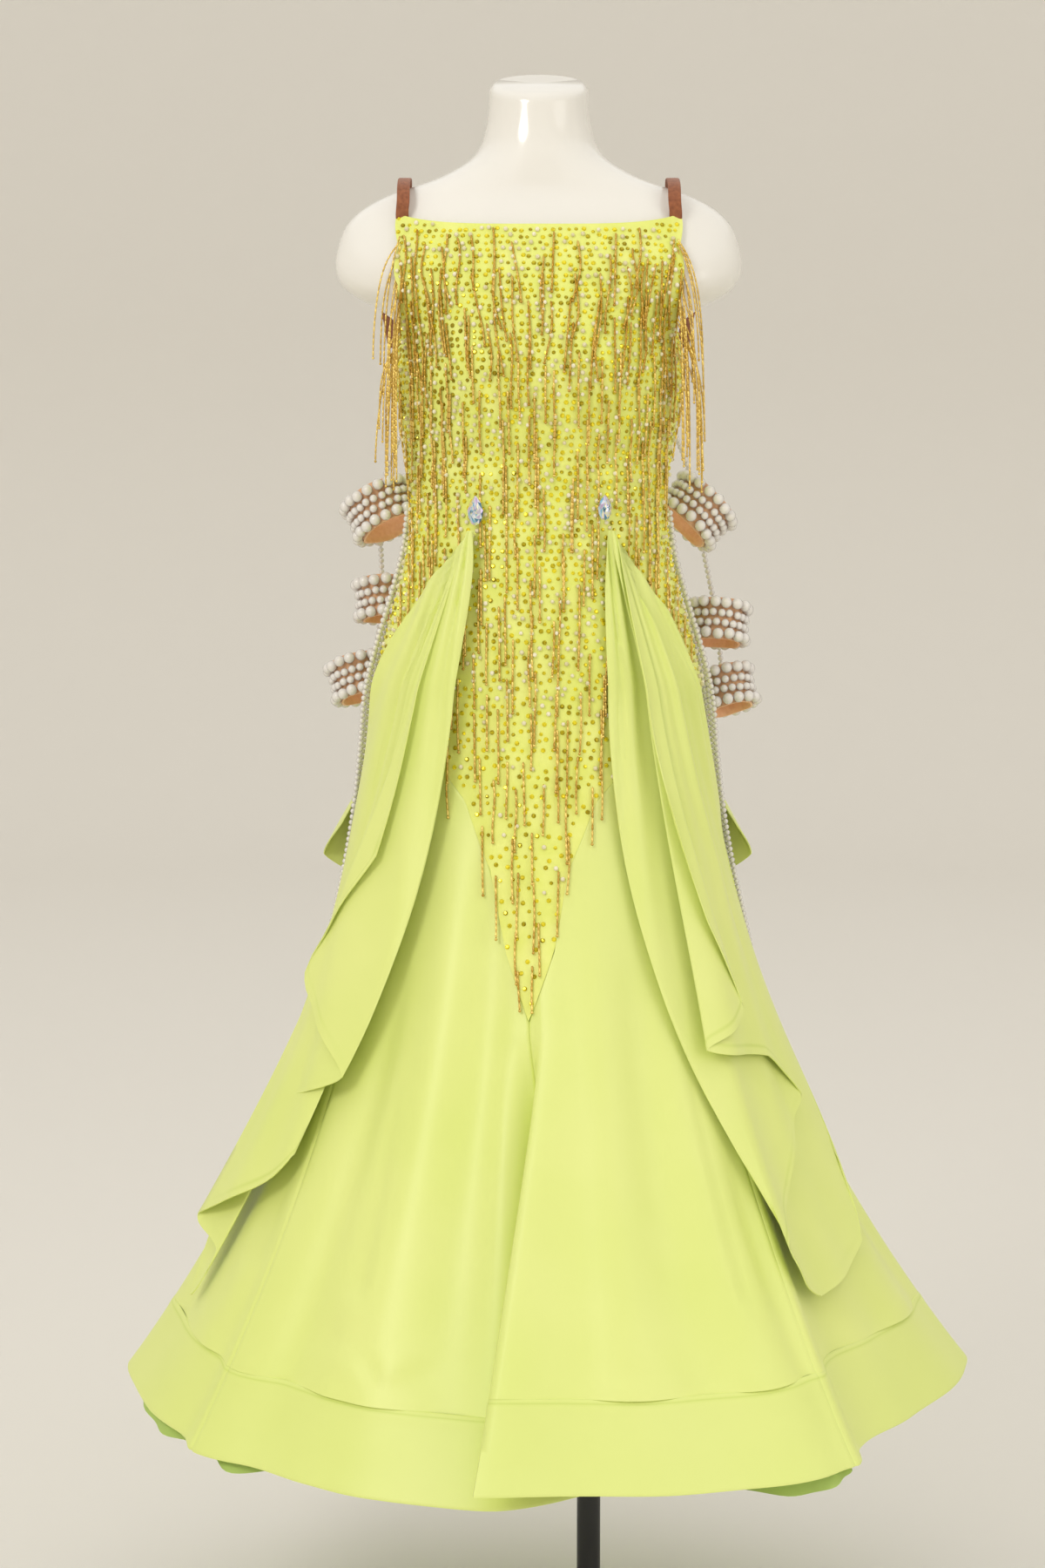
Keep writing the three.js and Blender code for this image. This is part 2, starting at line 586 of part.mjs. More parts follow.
const RUFFLE = [
  { fold: "side_hem", top: 124, mid: 110.7, midZ: 905, end: 97.2, endZ: 840, out: [7, 13, 28] },
  { fold: "side_flute", top: 125, mid: 114.8, midZ: 892, end: 103.6, endZ: 805, out: [12, 30, 48] },
  { fold: "first_tuck", top: 127, mid: 120, midZ: 880, end: 112.9, endZ: 775, out: [7, 12, 17] },
  { fold: "middle_flute", top: 129, mid: 127, midZ: 868, end: 124, endZ: 745, out: [12, 27, 44] },
  { fold: "second_tuck", top: 132, mid: 134, midZ: 860, end: 131.4, endZ: 722, out: [7, 10, 14] },
  { fold: "back_flute", top: 134, mid: 143.6, midZ: 868, end: 142.2, endZ: 730, out: [12, 24, 38] },
  { fold: "back_hem", top: 137, mid: 151.7, midZ: 880, end: 151.9, endZ: 765, out: [7, 9, 11] },
];

/** A place on a fold line: the curve through its gathered end, its middle and its hem end. */
function alongFold(row, gatherZ, share) {
  const first = (2 * share - 1) * (share - 1);
  const middle = 4 * share * (1 - share);
  const end = share * (2 * share - 1);
  return {
    azimuth: first * row.top + middle * row.mid + end * row.end,
    z: first * gatherZ + middle * row.midZ + end * row.endZ,
    out: first * row.out[0] + middle * row.out[1] + end * row.out[2],
  };
}

/** A folded sheet: straight spans between neighbouring fold lines. */
function foldedSheet(rows, gatherZ, steps, side) {
  const columns = [];
  const widestSpan = 8;
  rows.slice(0, -1).forEach((row, i) => {
    const turn = Math.abs(rows[i + 1].mid - row.mid);
    range(Math.ceil(turn / widestSpan))
      .slice(i === 0 ? 0 : 1)
      .forEach((across) => {
        columns.push(
          range(steps).map((share) => {
            const a = alongFold(row, gatherZ, share);
            const b = alongFold(rows[i + 1], gatherZ, share);
            const azimuth = side * mix(a.azimuth, b.azimuth, across);
            const point = dressPoint(azimuth, mix(a.z, b.z, across), false);
            return point.addScaledVector(clearOut(azimuth), mix(a.out, b.out, across));
          }),
        );
      });
  });
  return columns;
}

function addFolded(name, rows, gatherZ, steps, side = 1) {
  const sheet = foldedSheet(rows, gatherZ, steps, side);
  add(dress, name, wall(sheet, behind(sheet, DRAPE_WALL)), materials.satin);
}
addFolded("drape_left", DRAPE_LEFT, GATHER_Z, 9);
addFolded("drape_right", DRAPE_RIGHT, GATHER_Z, 9);
addFolded("back_ruffle_left", RUFFLE, RUFFLE_Z, 5, -1);
addFolded("back_ruffle_right", RUFFLE, RUFFLE_Z, 5);

// ---- Straps, loose fringe and crystals --------------------------------------------------
// The shoulder strap's middle line, from the neckline over the shoulder to the bodice's back.
const STRAP_ROUTE = [
  { x: 137, y: -51, z: 1474 },
  { x: 137, y: -42, z: 1492 },
  { x: 137, y: -12, z: 1508 },
  { x: 137, y: 22, z: 1511 },
  { x: 139, y: 54, z: 1496 },
  { x: 144, y: 76, z: 1462 },
  { x: 154, y: 88, z: 1425 },
  { x: 160, y: 86, z: 1388 },
  { x: 155, y: 60, z: 1362 },
  { x: 150, y: 32, z: 1338 },
];

/** A flat ribbon along a route, standing away from the figure's middle. */
function ribbon(route, width, thickness, side) {
  const curve = new THREE.CatmullRomCurve3(route.map(({ x, y, z }) => new THREE.Vector3(side * x, y, z)));
  const steps = 16;
  const middle = new THREE.Vector3(0, 20, 1400);
  const edges = (lift) =>
    range(steps).map((share) => {
      const point = curve.getPointAt(share);
      const along = curve.getTangentAt(share);
      const away = point.clone().sub(middle).setX(0);
      const across = new THREE.Vector3().crossVectors(along, away).normalize();
      const face = across.clone().cross(along).normalize();
      if (face.dot(away) < 0) face.negate();
      point.addScaledVector(face, lift);
      return [-1, 0, 1].map((edge) => point.clone().addScaledVector(across, (edge * width) / 2));
    });
  return wall(edges(thickness), edges(0));
}

// Loose strands at the armhole, as a thin curtain of their reach.
const SIDE_FRINGE = { inner: 141, outer: 160, lean: 6, y: -78, depth: 10, top: 1436, foot: 1190 };
const SIDE_FRINGE_WALL = 2;

function sideFringe(side) {
  const { inner, outer, lean, y, depth, top, foot } = SIDE_FRINGE;
  const face = (back) =>
    range(2).map((across) =>
      range(3).map((down) => {
        const x = mix(inner, outer, across) + lean * down;
        return new THREE.Vector3(side * x, y + depth * across + back, mix(top, foot, down));
      }),
    );
  return wall(face(0), face(SIDE_FRINGE_WALL));
}

const CRYSTALS = [
  { name: "crystal_left", azimuth: -27.5, z: 1168, width: 17, height: 30 },
  { name: "crystal_right", azimuth: 28.5, z: 1171, width: 15, height: 26 },
];
const CRYSTAL_DEPTH = 7;
const CRYSTAL_OUT = 7.5;

/** A drop-shaped stone: a flat back, a faceted edge and a smaller flat front. */
function crystalGeometry({ width, height }) {
  const outline = (scale, depth) =>
    range(12)
      .slice(0, -1)
      .map((share) => {
        const turn = share * Math.PI * 2;
        const narrow = Math.sin(turn) > 0 ? 1 - 0.75 * Math.sin(turn) ** 2 : 1;
        const x = (Math.cos(turn) * scale * narrow * width) / 2;
        return new THREE.Vector3(x, -depth, (Math.sin(turn) * scale * height) / 2);
      });
  const rings = [outline(0.82, 0), outline(1, 0.3 * CRYSTAL_DEPTH), outline(0.55, CRYSTAL_DEPTH)];
  const points = rings.flat();
  const count = rings[0].length;
  const back = points.push(new THREE.Vector3(0, 0, 0)) - 1;
  const front = points.push(new THREE.Vector3(0, -CRYSTAL_DEPTH, 0)) - 1;
  const faces = [];
  for (let i = 0; i < count; i++) {
    const next = (i + 1) % count;
    faces.push([back, i, next], [front, 2 * count + next, 2 * count + i]);
    for (const ring of [0, count]) {
      faces.push([ring + i, ring + count + i, ring + count + next]);
      faces.push([ring + i, ring + count + next, ring + next]);
    }
  }
  return solid(points, faces);
}

for (const [name, side] of [["left", -1], ["right", 1]]) {
  const strap = ribbon(STRAP_ROUTE, STRAP_WIDTH, STRAP_THICKNESS, side);
  add(dress, `shoulder_strap_${name}`, strap, materials.elastic);
  add(dress, `side_fringe_${name}`, sideFringe(side), materials.beads);
}
for (const crystal of CRYSTALS) {
  const mesh = add(dress, crystal.name, crystalGeometry(crystal), materials.crystal);
  const out = clearOut(crystal.azimuth);
  mesh.position.copy(dressPoint(crystal.azimuth, crystal.z)).addScaledVector(out, CRYSTAL_OUT);
  mesh.rotation.z = Math.atan2(out.x, -out.y);
}

// ---- Armbands ---------------------------------------------------------------------------
// Elastic cuffs set with four rows of pearls; across and overall lean the cuff's top.
const ARMBANDS = [
  { name: "armband_left_1", x: -164, y: 66, z: 1169, radius: 32, leanX: -25, leanY: 18 },
  { name: "armband_left_2", x: -163, y: 84, z: 1075, radius: 25, leanX: -4, leanY: 12 },
  { name: "armband_left_3", x: -190, y: 84, z: 991, radius: 26, leanX: -15, leanY: 16 },
  { name: "armband_right_1", x: 167, y: 66, z: 1168, radius: 31, leanX: 44, leanY: 16 },
  { name: "armband_right_2", x: 191, y: 78, z: 1050, radius: 26, leanX: 6, leanY: 14 },
  { name: "armband_right_3", x: 200, y: 82, z: 978, radius: 25, leanX: -12, leanY: 18 },
];
const CUFF_HEIGHT = 46;
const CUFF_WALL = 2.5;
const LARGE_PEARL = 10;
const SMALL_PEARL = 7;
const LARGE_ROW = 12;
const CUFF_SIDES = 12;

function addCuff(band, suffix, profile, finish) {
  const points = [...profile, profile[0]].map(([r, z]) => new THREE.Vector2(r, z));
  const geometry = new THREE.LatheGeometry(points, CUFF_SIDES);
  geometry.rotateX(Math.PI / 2);
  const mesh = add(dress, band.name + suffix, geometry, finish);
  mesh.position.set(band.x, band.y, band.z);
  mesh.rotation.set(radians(-band.leanY), radians(band.leanX), 0);
}

for (const band of ARMBANDS) {
  const half = CUFF_HEIGHT / 2;
  const { radius } = band;
  const inside = radius - CUFF_WALL;
  addCuff(band, "", [[inside, -half], [radius, -half], [radius, half], [inside, half]], materials.band);
  const foot = radius + TOUCH_GAP + 0.2;
  const rowEdge = half - LARGE_ROW;
  const rows = [
    [foot, -half],
    [radius + LARGE_PEARL, -half],
    [radius + LARGE_PEARL, -rowEdge],
    [radius + SMALL_PEARL, -rowEdge],
    [radius + SMALL_PEARL, rowEdge],
    [radius + LARGE_PEARL, rowEdge],
    [radius + LARGE_PEARL, half],
    [foot, half],
  ];
  addCuff(band, "_pearls", rows, materials.pearl);
}

// ---- Hanging pearl strands --------------------------------------------------------------
// Each runs free between its first and last place; azimuth, level and distance from the dress.
const LONG_LOOP = [
  { azimuth: 96, z: 1166, out: 6 },
  { azimuth: 96, z: 1130, out: 6.5 },
  { azimuth: 96, z: 1080, out: 6.5 },
  { azimuth: 96, z: 1030, out: 7 },
  { azimuth: 96.5, z: 980, out: 9 },
  { azimuth: 97, z: 920, out: 12 },
  { azimuth: 97.5, z: 860, out: 13 },
  { azimuth: 98, z: 800, out: 14 },
  { azimuth: 98.5, z: 750, out: 15 },
  { azimuth: 99, z: 718, out: 15 },
  { azimuth: 100.5, z: 700, out: 15 },
  { azimuth: 103, z: 693, out: 15 },
  { azimuth: 105.5, z: 700, out: 15 },
  { azimuth: 107, z: 718, out: 14 },
  { azimuth: 107.5, z: 750, out: 14 },
  { azimuth: 107.5, z: 800, out: 13 },
  { azimuth: 107.5, z: 860, out: 12 },
  { azimuth: 107.5, z: 920, out: 11 },
  { azimuth: 107.5, z: 980, out: 8 },
  { azimuth: 107.5, z: 1030, out: 6.5 },
  { azimuth: 107.5, z: 1080, out: 6 },
];
const SHORT_LOOP = [
  { azimuth: 100, z: 1150, out: 6 },
  { azimuth: 100, z: 1110, out: 6.5 },
  { azimuth: 100, z: 1060, out: 7 },
  { azimuth: 100, z: 1010, out: 7.5 },
  { azimuth: 100.3, z: 960, out: 9 },
  { azimuth: 100.6, z: 900, out: 12 },
  { azimuth: 100.9, z: 850, out: 13 },
  { azimuth: 101.2, z: 800, out: 13.5 },
  { azimuth: 101.6, z: 775, out: 14 },
  { azimuth: 102.8, z: 764, out: 14 },
  { azimuth: 104, z: 775, out: 13.5 },
  { azimuth: 104.3, z: 800, out: 13 },
  { azimuth: 104.3, z: 850, out: 12.5 },
  { azimuth: 104.3, z: 900, out: 11.5 },
  { azimuth: 104.3, z: 960, out: 9 },
  { azimuth: 104.3, z: 1010, out: 7 },
  { azimuth: 104.3, z: 1050, out: 6 },
];
// The strand behind the cuffs, in plain places from the underarm down.
const LINK_LEFT = [
  { x: -138, y: 58, z: 1262 },
  { x: -150, y: 92, z: 1240 },
  { x: -164, y: 116, z: 1205 },
  { x: -170, y: 127, z: 1160 },
  { x: -169, y: 129, z: 1110 },
  { x: -169, y: 130, z: 1070 },
  { x: -174, y: 130, z: 1030 },
  { x: -184, y: 130, z: 995 },
  { x: -188, y: 129, z: 962 },
];
const LINK_RIGHT = [
  { x: 138, y: 58, z: 1262 },
  { x: 150, y: 92, z: 1240 },
  { x: 164, y: 116, z: 1205 },
  { x: 172, y: 124, z: 1160 },
  { x: 182, y: 125, z: 1110 },
  { x: 192, y: 126, z: 1060 },
  { x: 198, y: 128, z: 1010 },
  { x: 202, y: 129, z: 978 },
  { x: 203, y: 128, z: 950 },
];

const hungPoint = ({ azimuth, z, out }, side) =>
  dressPoint(side * azimuth, z, false).addScaledVector(clearOut(side * azimuth), out);

function strandGeometry(points) {
  const path = new THREE.CatmullRomCurve3(points);
  const section = new THREE.Shape();
  for (let i = 0; i < STRAND_SIDES; i++) {
    const turn = (2 * Math.PI * i) / STRAND_SIDES;
    section[i ? "lineTo" : "moveTo"]((PEARL / 2) * Math.cos(turn), (PEARL / 2) * Math.sin(turn));
  }
  const steps = Math.round(path.getLength() / (3 * PEARL));
  return new THREE.ExtrudeGeometry(section, { steps, extrudePath: path });
}

for (const [name, side] of [["left", -1], ["right", 1]]) {
  const loops = { long: LONG_LOOP, short: SHORT_LOOP };
  for (const [kind, route] of Object.entries(loops)) {
    const points = route.map((place) => hungPoint(place, side));
    add(dress, `pearl_strand_${name}_${kind}`, strandGeometry(points), materials.pearl);
  }
  const link = (side < 0 ? LINK_LEFT : LINK_RIGHT).map(({ x, y, z }) => new THREE.Vector3(x, y, z));
  add(dress, `pearl_strand_${name}_link`, strandGeometry(link), materials.pearl);
}

export default object;
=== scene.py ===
import math

import bpy
import numpy as np
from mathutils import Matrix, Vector


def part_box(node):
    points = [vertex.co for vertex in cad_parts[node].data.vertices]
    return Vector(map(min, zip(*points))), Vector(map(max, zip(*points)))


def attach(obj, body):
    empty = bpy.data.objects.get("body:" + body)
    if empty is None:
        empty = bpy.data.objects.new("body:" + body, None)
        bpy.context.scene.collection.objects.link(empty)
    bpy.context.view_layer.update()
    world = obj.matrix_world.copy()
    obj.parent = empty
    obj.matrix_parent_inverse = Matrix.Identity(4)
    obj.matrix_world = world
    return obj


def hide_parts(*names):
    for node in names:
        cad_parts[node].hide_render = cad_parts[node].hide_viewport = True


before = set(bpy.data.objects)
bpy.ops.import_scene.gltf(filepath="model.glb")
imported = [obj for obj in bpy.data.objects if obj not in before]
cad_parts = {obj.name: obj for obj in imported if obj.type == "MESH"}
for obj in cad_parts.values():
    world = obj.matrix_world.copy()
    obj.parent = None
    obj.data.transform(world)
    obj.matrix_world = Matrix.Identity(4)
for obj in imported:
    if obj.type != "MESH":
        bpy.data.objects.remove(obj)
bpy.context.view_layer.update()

MM = 0.001
FORM_BOTTOM, FORM_TOP = 900, 1605
form_low, form_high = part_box("form_torso")
# The figure's own zero in the row's frame, still in millimetres.
FIGURE_PLACE = ((form_low.x + form_high.x) / 2 / MM, 0, form_low.z / MM - FORM_BOTTOM)
SIDES = ((-1, "left"), (1, "right"))
rng = np.random.default_rng(20)

# ---- Camera ----
camera = bpy.data.objects.new("camera", bpy.data.cameras.new("camera"))
camera.data.lens = 65
camera.data.sensor_width = 36
camera.location = (-0.0706, -2.940, 1.216)
camera.rotation_euler = (math.radians(84.726), 0, 0)
bpy.context.collection.objects.link(camera)
bpy.context.scene.camera = camera
bpy.context.scene.view_settings.view_transform = "Standard"


# ---- Tables and curves ----
def table(columns, *rows):
    """Named columns from rows of numbers."""
    return {name: np.array([row[k] for row in rows], float) for k, name in enumerate(columns.split())}


def rows_of(rows):
    """A table's rows, each with its values by name."""
    return [dict(zip(rows, values)) for values in zip(*rows.values())]


def mix(a, b, share):
    return a + (b - a) * share


def part_way(place, start, end):
    """How far a place is on the way from a start to an end, from 0 to 1."""
    return np.clip((place - start) / (end - start), 0, 1)


def hump(place, middle, width):
    """A smooth bump that is 1 at its middle and fades over its width."""
    return np.exp(-(((place - middle) / width) ** 2))


def unit(vectors):
    return vectors / np.maximum(np.linalg.norm(vectors, axis=-1, keepdims=True), 1e-9)


def run_along(points):
    """The distance of each point along a line of points."""
    return np.concatenate([[0], np.cumsum(np.linalg.norm(np.diff(points, axis=0), axis=1))])


def table_at(rows, along, column, place):
    """A smooth curve through a table's rows: one column at places along another."""
    x, y = rows[along], rows[column]
    last = len(x) - 1
    at = np.clip(place, x[0], x[-1])
    i = np.clip(np.searchsorted(x, at) - 1, 0, last - 1)
    before, after = np.maximum(np.arange(last + 1) - 1, 0), np.minimum(np.arange(last + 1) + 1, last)
    slope = (y[after] - y[before]) / (x[after] - x[before])
    width = x[i + 1] - x[i]
    t = (at - x[i]) / width
    return (
        (2 * t**3 - 3 * t**2 + 1) * y[i]
        + (t**3 - 2 * t**2 + t) * width * slope[i]
        + (3 * t**2 - 2 * t**3) * y[i + 1]
        + (t**3 - t**2) * width * slope[i + 1]
    )


def line_at(rows, along, column, place):
    return np.interp(place, rows[along], rows[column])


def spline(points, spans, shares, closed=False):
    """A curve through points with even speed: its places at these spans and shares of a span."""
    points = np.asarray(points, float)
    count = len(points)
    pick = (lambda k: points[k % count]) if closed else (lambda k: points[np.clip(k, 0, count - 1)])
    p0, p1, p2, p3 = (pick(spans + k) for k in (-1, 0, 1, 2))
    knot = lambda a, b: np.maximum(np.linalg.norm(b - a, axis=-1, keepdims=True), 1e-6) ** 0.5
    t1 = knot(p0, p1)
    t2 = t1 + knot(p1, p2)
    t3 = t2 + knot(p2, p3)
    at = mix(t1, t2, shares[..., None])
    a1 = mix(p0, p1, at / t1)
    a2 = mix(p1, p2, (at - t1) / (t2 - t1))
    a3 = mix(p2, p3, (at - t2) / (t3 - t2))
    b1 = mix(a1, a2, at / t2)
    b2 = mix(a2, a3, (at - t1) / (t3 - t1))
    return mix(b1, b2, (at - t1) / (t2 - t1))


def route(points, spacing):
    """Evenly spaced places along a curve through points."""
    spans = len(points) - 1
    at = np.linspace(0, spans, spans * 24 + 1)
    index = np.minimum(at.astype(int), spans - 1)
    fine = spline(points, index, at - index)
    run = run_along(fine)
    steps = int(round(run[-1] / spacing))
    even = np.linspace(0, run[-1], steps + 1)
    return np.stack([np.interp(even, run, fine[:, k]) for k in range(3)], -1), run[-1]


# ---- The figure and the dress as surfaces ----
EASE = 6.2  # from the form to the outside of the bodice
HIP_Z = 985
PLEAT_TOP = 655
BAND_RISE = 75
# How late the skirt swings out on its way down: at the sides, at the front and in the pleat.
FLARE_SIDE, FLARE_FRONT, FLARE_PLEAT = 1.9, 1.5, 1.1
FORM_SECTIONS = table(
    "z half front back middle",
    (900, 146, 88, 104, 0), (940, 159, 102, 122, 0), (985, 163, 108, 128, 0),
    (1035, 153, 107, 118, 0), (1080, 141, 103, 104, 0), (1125, 130, 97, 92, 0),
    (1178, 125, 93, 86, 0), (1225, 130, 98, 92, 0), (1270, 137, 106, 100, 0),
    (1310, 142, 110, 106, 0), (1350, 140, 104, 108, 0), (1370, 158, 98, 107, 0),
    (1392, 196, 90, 103, 0), (1412, 208, 83, 98, 1), (1440, 205, 72, 89, 4),
    (1466, 192, 62, 78, 8), (1488, 160, 54, 66, 12), (1508, 104, 54, 60, 16),
    (1530, 68, 54, 56, 19), (1560, 54, 51, 52, 20), (1605, 50, 49, 50, 20),
)
BUST = {"x": 74, "z": 1318, "reach": 11, "wide": 42, "high": 48}
NECK_TILT = {"from": 1520, "slope": 0.35}
FRONT_REACH = table(
    "z azimuth",
    (668, 90), (1332, 90), (1350, 74), (1370, 58), (1392, 44), (1432, 41.5), (1475, 47.5),
)
NECKLINE = {"middle": 1454, "side": 1467}
BACK_TOP = {"side": 1332, "middle": 1118}
YOKE_TIP = -4
YOKE = table(
    "turn z",
    (0, 668), (7.5, 735), (12, 810), (21.5, 879), (30, 905), (45, 936), (66, 960), (90, 975),
)
# The skirt's hem, fold by fold; the two rows marked 1 are the folded centre-front pleat.
HEM = table(
    "azimuth x y z pleat",
    (-180, -12, 345, 262, 0), (-162, -96, 398, 262, 0), (-147, -188, 338, 262, 0),
    (-132, -288, 342, 262, 0), (-118, -330, 238, 262, 0), (-105, -418, 168, 262, 0),
    (-98, -404, 88, 262, 0), (-90, -438, 20, 262, 0), (-76, -400, -122, 258, 0),
    (-65, -352, -204, 254, 0), (-58, -342, -236, 250, 0), (-44, -266, -296, 250, 0),
    (-26, -160, -362, 246, 0), (-12, -44, -391, 244, 0), (-4, 58, -325, 242, 1),
    (0, -63, -445, 276, 1), (10, 58, -430, 272, 0), (27, 190, -408, 270, 0),
    (45, 298, -355, 274, 0), (53, 308, -296, 272, 0), (66, 372, -186, 268, 0),
    (90, 462, 40, 262, 0), (100, 408, 132, 262, 0), (112, 402, 232, 262, 0),
    (127, 300, 272, 262, 0), (143, 236, 384, 262, 0), (157, 122, 338, 262, 0),
    (170, 72, 396, 262, 0), (180, -12, 345, 262, 0),
)
PLAIN_HEM = {name: column[HEM["pleat"] == 0] for name, column in HEM.items()}


def form_point(azimuth, z, out=0.0):
    """Places on the form, or this far out from it."""
    azimuth, z = np.broadcast_arrays(np.asarray(azimuth, float), np.asarray(z, float))
    section = lambda column: table_at(FORM_SECTIONS, "z", column, z)
    ahead = np.cos(np.radians(azimuth))
    depth = np.where(ahead > 0, section("front"), section("back"))
    x = (section("half") + out) * np.sin(np.radians(azimuth))
    rise = hump(z, BUST["z"], BUST["high"])
    across = hump(np.abs(x), BUST["x"], BUST["wide"])
    bust = BUST["reach"] * rise * across * np.maximum(0, ahead) ** 0.7
    y = section("middle") - (depth + out + bust) * ahead
    return np.stack([x, y, z], -1)


def hem_at(rows, azimuth):
    """The hem's places at these azimuths."""
    points = np.stack([rows["x"], rows["y"], rows["z"]], -1)[:-1]
    azimuth = np.clip(azimuth, -180, 180)
    i = np.clip(np.searchsorted(rows["azimuth"], azimuth) - 1, 0, len(points) - 1)
    share = (azimuth - rows["azimuth"][i]) / (rows["azimuth"][i + 1] - rows["azimuth"][i])
    return spline(points, i, share, closed=True)


def dress_point(azimuth, z, pleated=True, out=0.0):
    """Places on the dress: the bodice above the hip seam, the flared skirt below it."""
    azimuth, z = np.broadcast_arrays(np.asarray(azimuth, float), np.asarray(z, float))
    upper = form_point(azimuth, np.maximum(z, HIP_Z), EASE)
    plain = hem_at(PLAIN_HEM, azimuth)
    full = hem_at(HEM, azimuth) if pleated else plain
    share = np.maximum(0, (HIP_Z - z) / (HIP_Z - full[..., 2]))
    ahead = np.maximum(0, np.cos(np.radians(azimuth)))
    flare = share ** mix(FLARE_SIDE, FLARE_FRONT, ahead**2)
    opened = np.maximum(0, (PLEAT_TOP - z) / (PLEAT_TOP - full[..., 2])) ** FLARE_PLEAT
    point = mix(upper, plain, flare[..., None]) + (full - plain) * opened[..., None]
    point = np.where((z >= HIP_Z)[..., None], upper, point)
    point[..., 2] = z
    return point + outward(azimuth, z, pleated) * np.asarray(out)[..., None] if np.any(out) else point


def wrapped(azimuth):
    return (azimuth + 180) % 360 - 180


def outward(azimuth, z, pleated=True):
    """The level direction straight out of the dress."""
    step = 0.4
    ahead = dress_point(wrapped(azimuth + step), z, pleated)
    along = ahead - dress_point(wrapped(azimuth - step), z, pleated)
    normal = np.stack([along[..., 1], -along[..., 0], np.zeros(along.shape[:-1])], -1)
    return unit(normal)


def clear_out(azimuth):
    """The direction straight out of the smooth hip, which drapes and ruffles are moved along."""
    angle = np.radians(azimuth)
    half, front, back = (table_at(FORM_SECTIONS, "z", name, HIP_Z) for name in ("half", "front", "back"))
    depth = np.where(np.cos(angle) > 0, front, back)
    normal = np.stack([np.sin(angle) / half, -np.cos(angle) / depth, np.zeros_like(angle)], -1)
    return unit(normal)


def yoke_z(azimuth):
    """The level of the pointed seam between the bodice and the skirt."""
    away = azimuth - YOKE_TIP
    arm = np.where(away < 0, 90 + YOKE_TIP, 90 - YOKE_TIP)
    return line_at(YOKE, "turn", "z", 90 * np.abs(away) / arm)


def front_reach(z):
    """The azimuth of the front panel's edge at a level."""
    return line_at(FRONT_REACH, "z", "azimuth", z)


def azimuth_of(x, z):
    """The azimuth where the front of the dress has this x at this level."""
    low, high = np.full(np.shape(x), -89.0), np.full(np.shape(x), 89.0)
    for _ in range(24):
        middle = (low + high) / 2
        right = dress_point(middle, z, False)[..., 0] < x
        low = np.where(right, middle, low)
        high = np.where(right, high, middle)
    return (low + high) / 2


# ---- Materials ----
def material(name, color, roughness, **inputs):
    """A Principled material; the inputs that are even all over are set on its own sockets."""
    made = bpy.data.materials.new(name)
    made.use_nodes = True
    shader = made.node_tree.nodes["Principled BSDF"]
    shader.inputs["Base Color"].default_value = (*color, 1)
    shader.inputs["Roughness"].default_value = roughness
    for key, value in inputs.items():
        shader.inputs[key.replace("_", " ")].default_value = value
    return made


def node(made, kind, **settings):
    """A new node, with its properties and its inputs by name."""
    new = made.node_tree.nodes.new("ShaderNode" + kind)
    for key, value in settings.items():
        if key in new.inputs:
            new.inputs[key].default_value = value
        else:
            setattr(new, key, value)
    return new


def link(made, source, target):
    made.node_tree.links.new(source, target)


def shader_of(made):
    return made.node_tree.nodes["Principled BSDF"]


def ramp(made, source, stops):
    """A colour ramp over a value: (position, colour) stops."""
    new = node(made, "ValToRGB")
    for k, (position, color) in enumerate(stops):
        stop = new.color_ramp.elements[k] if k < 2 else new.color_ramp.elements.new(position)
        stop.position = position
        stop.color = (*color, 1)
    link(made, source, new.inputs["Fac"])
    return new.outputs["Color"]


def paint(made, source, stops):
    """The base colour, as a ramp over a value."""
    link(made, ramp(made, source, stops), shader_of(made).inputs["Base Color"])


def noise(made, scale, detail=2.0, stretch=None, roughness=0.5):
    """A noise over the object's own coordinates, squeezed along some axes if asked."""
    where = node(made, "TexCoord").outputs["Object"]
    if stretch:
        mapping = node(made, "Mapping", Scale=stretch)
        link(made, where, mapping.inputs["Vector"])
        where = mapping.outputs["Vector"]
    new = node(made, "TexNoise", Scale=scale, Detail=detail, Roughness=roughness)
    link(made, where, new.inputs["Vector"])
    return new.outputs["Fac"]


def bump(made, source, strength, distance, below=None):
    new = node(made, "Bump", Strength=strength, Distance=distance)
    link(made, source, new.inputs["Height"])
    if below:
        link(made, below, new.inputs["Normal"])
    link(made, new.outputs["Normal"], shader_of(made).inputs["Normal"])
    return new.outputs["Normal"]


def satin(name, light, deep, roughness, sheen):
    """Smooth satin: faint float threads, slow changes of colour, and stitch rows by attribute."""
    made = material(name, light, roughness, Sheen_Weight=sheen, Sheen_Roughness=0.35)
    shader_of(made).inputs["Sheen Tint"].default_value = (1.0, 1.0, 0.75, 1)
    cloudy = ramp(made, noise(made, 7), [(0.3, deep), (0.7, light)])
    stitch = node(made, "Attribute", attribute_name="stitch").outputs["Fac"]
    darker = node(made, "Mix", data_type="RGBA", blend_type="MULTIPLY")
    factor, first, second = (darker.inputs[k] for k in (0, 6, 7))
    second.default_value = (0.86, 0.9, 0.7, 1)
    link(made, stitch, factor)
    link(made, cloudy, first)
    link(made, darker.outputs[2], shader_of(made).inputs["Base Color"])
    threads = bump(made, noise(made, 420, 1, (1, 1, 0.06)), 0.1, 0.0004)
    bump(made, stitch, -0.5, 0.0006, threads)
    return made


NEON, NEON_DEEP = (0.80, 0.87, 0.29), (0.76, 0.85, 0.25)
SATIN = satin("satin", NEON, NEON_DEEP, 0.42, 0.12)
BAND = satin("satin_over_horsehair", (0.78, 0.86, 0.28), (0.75, 0.84, 0.25), 0.46, 0.1)


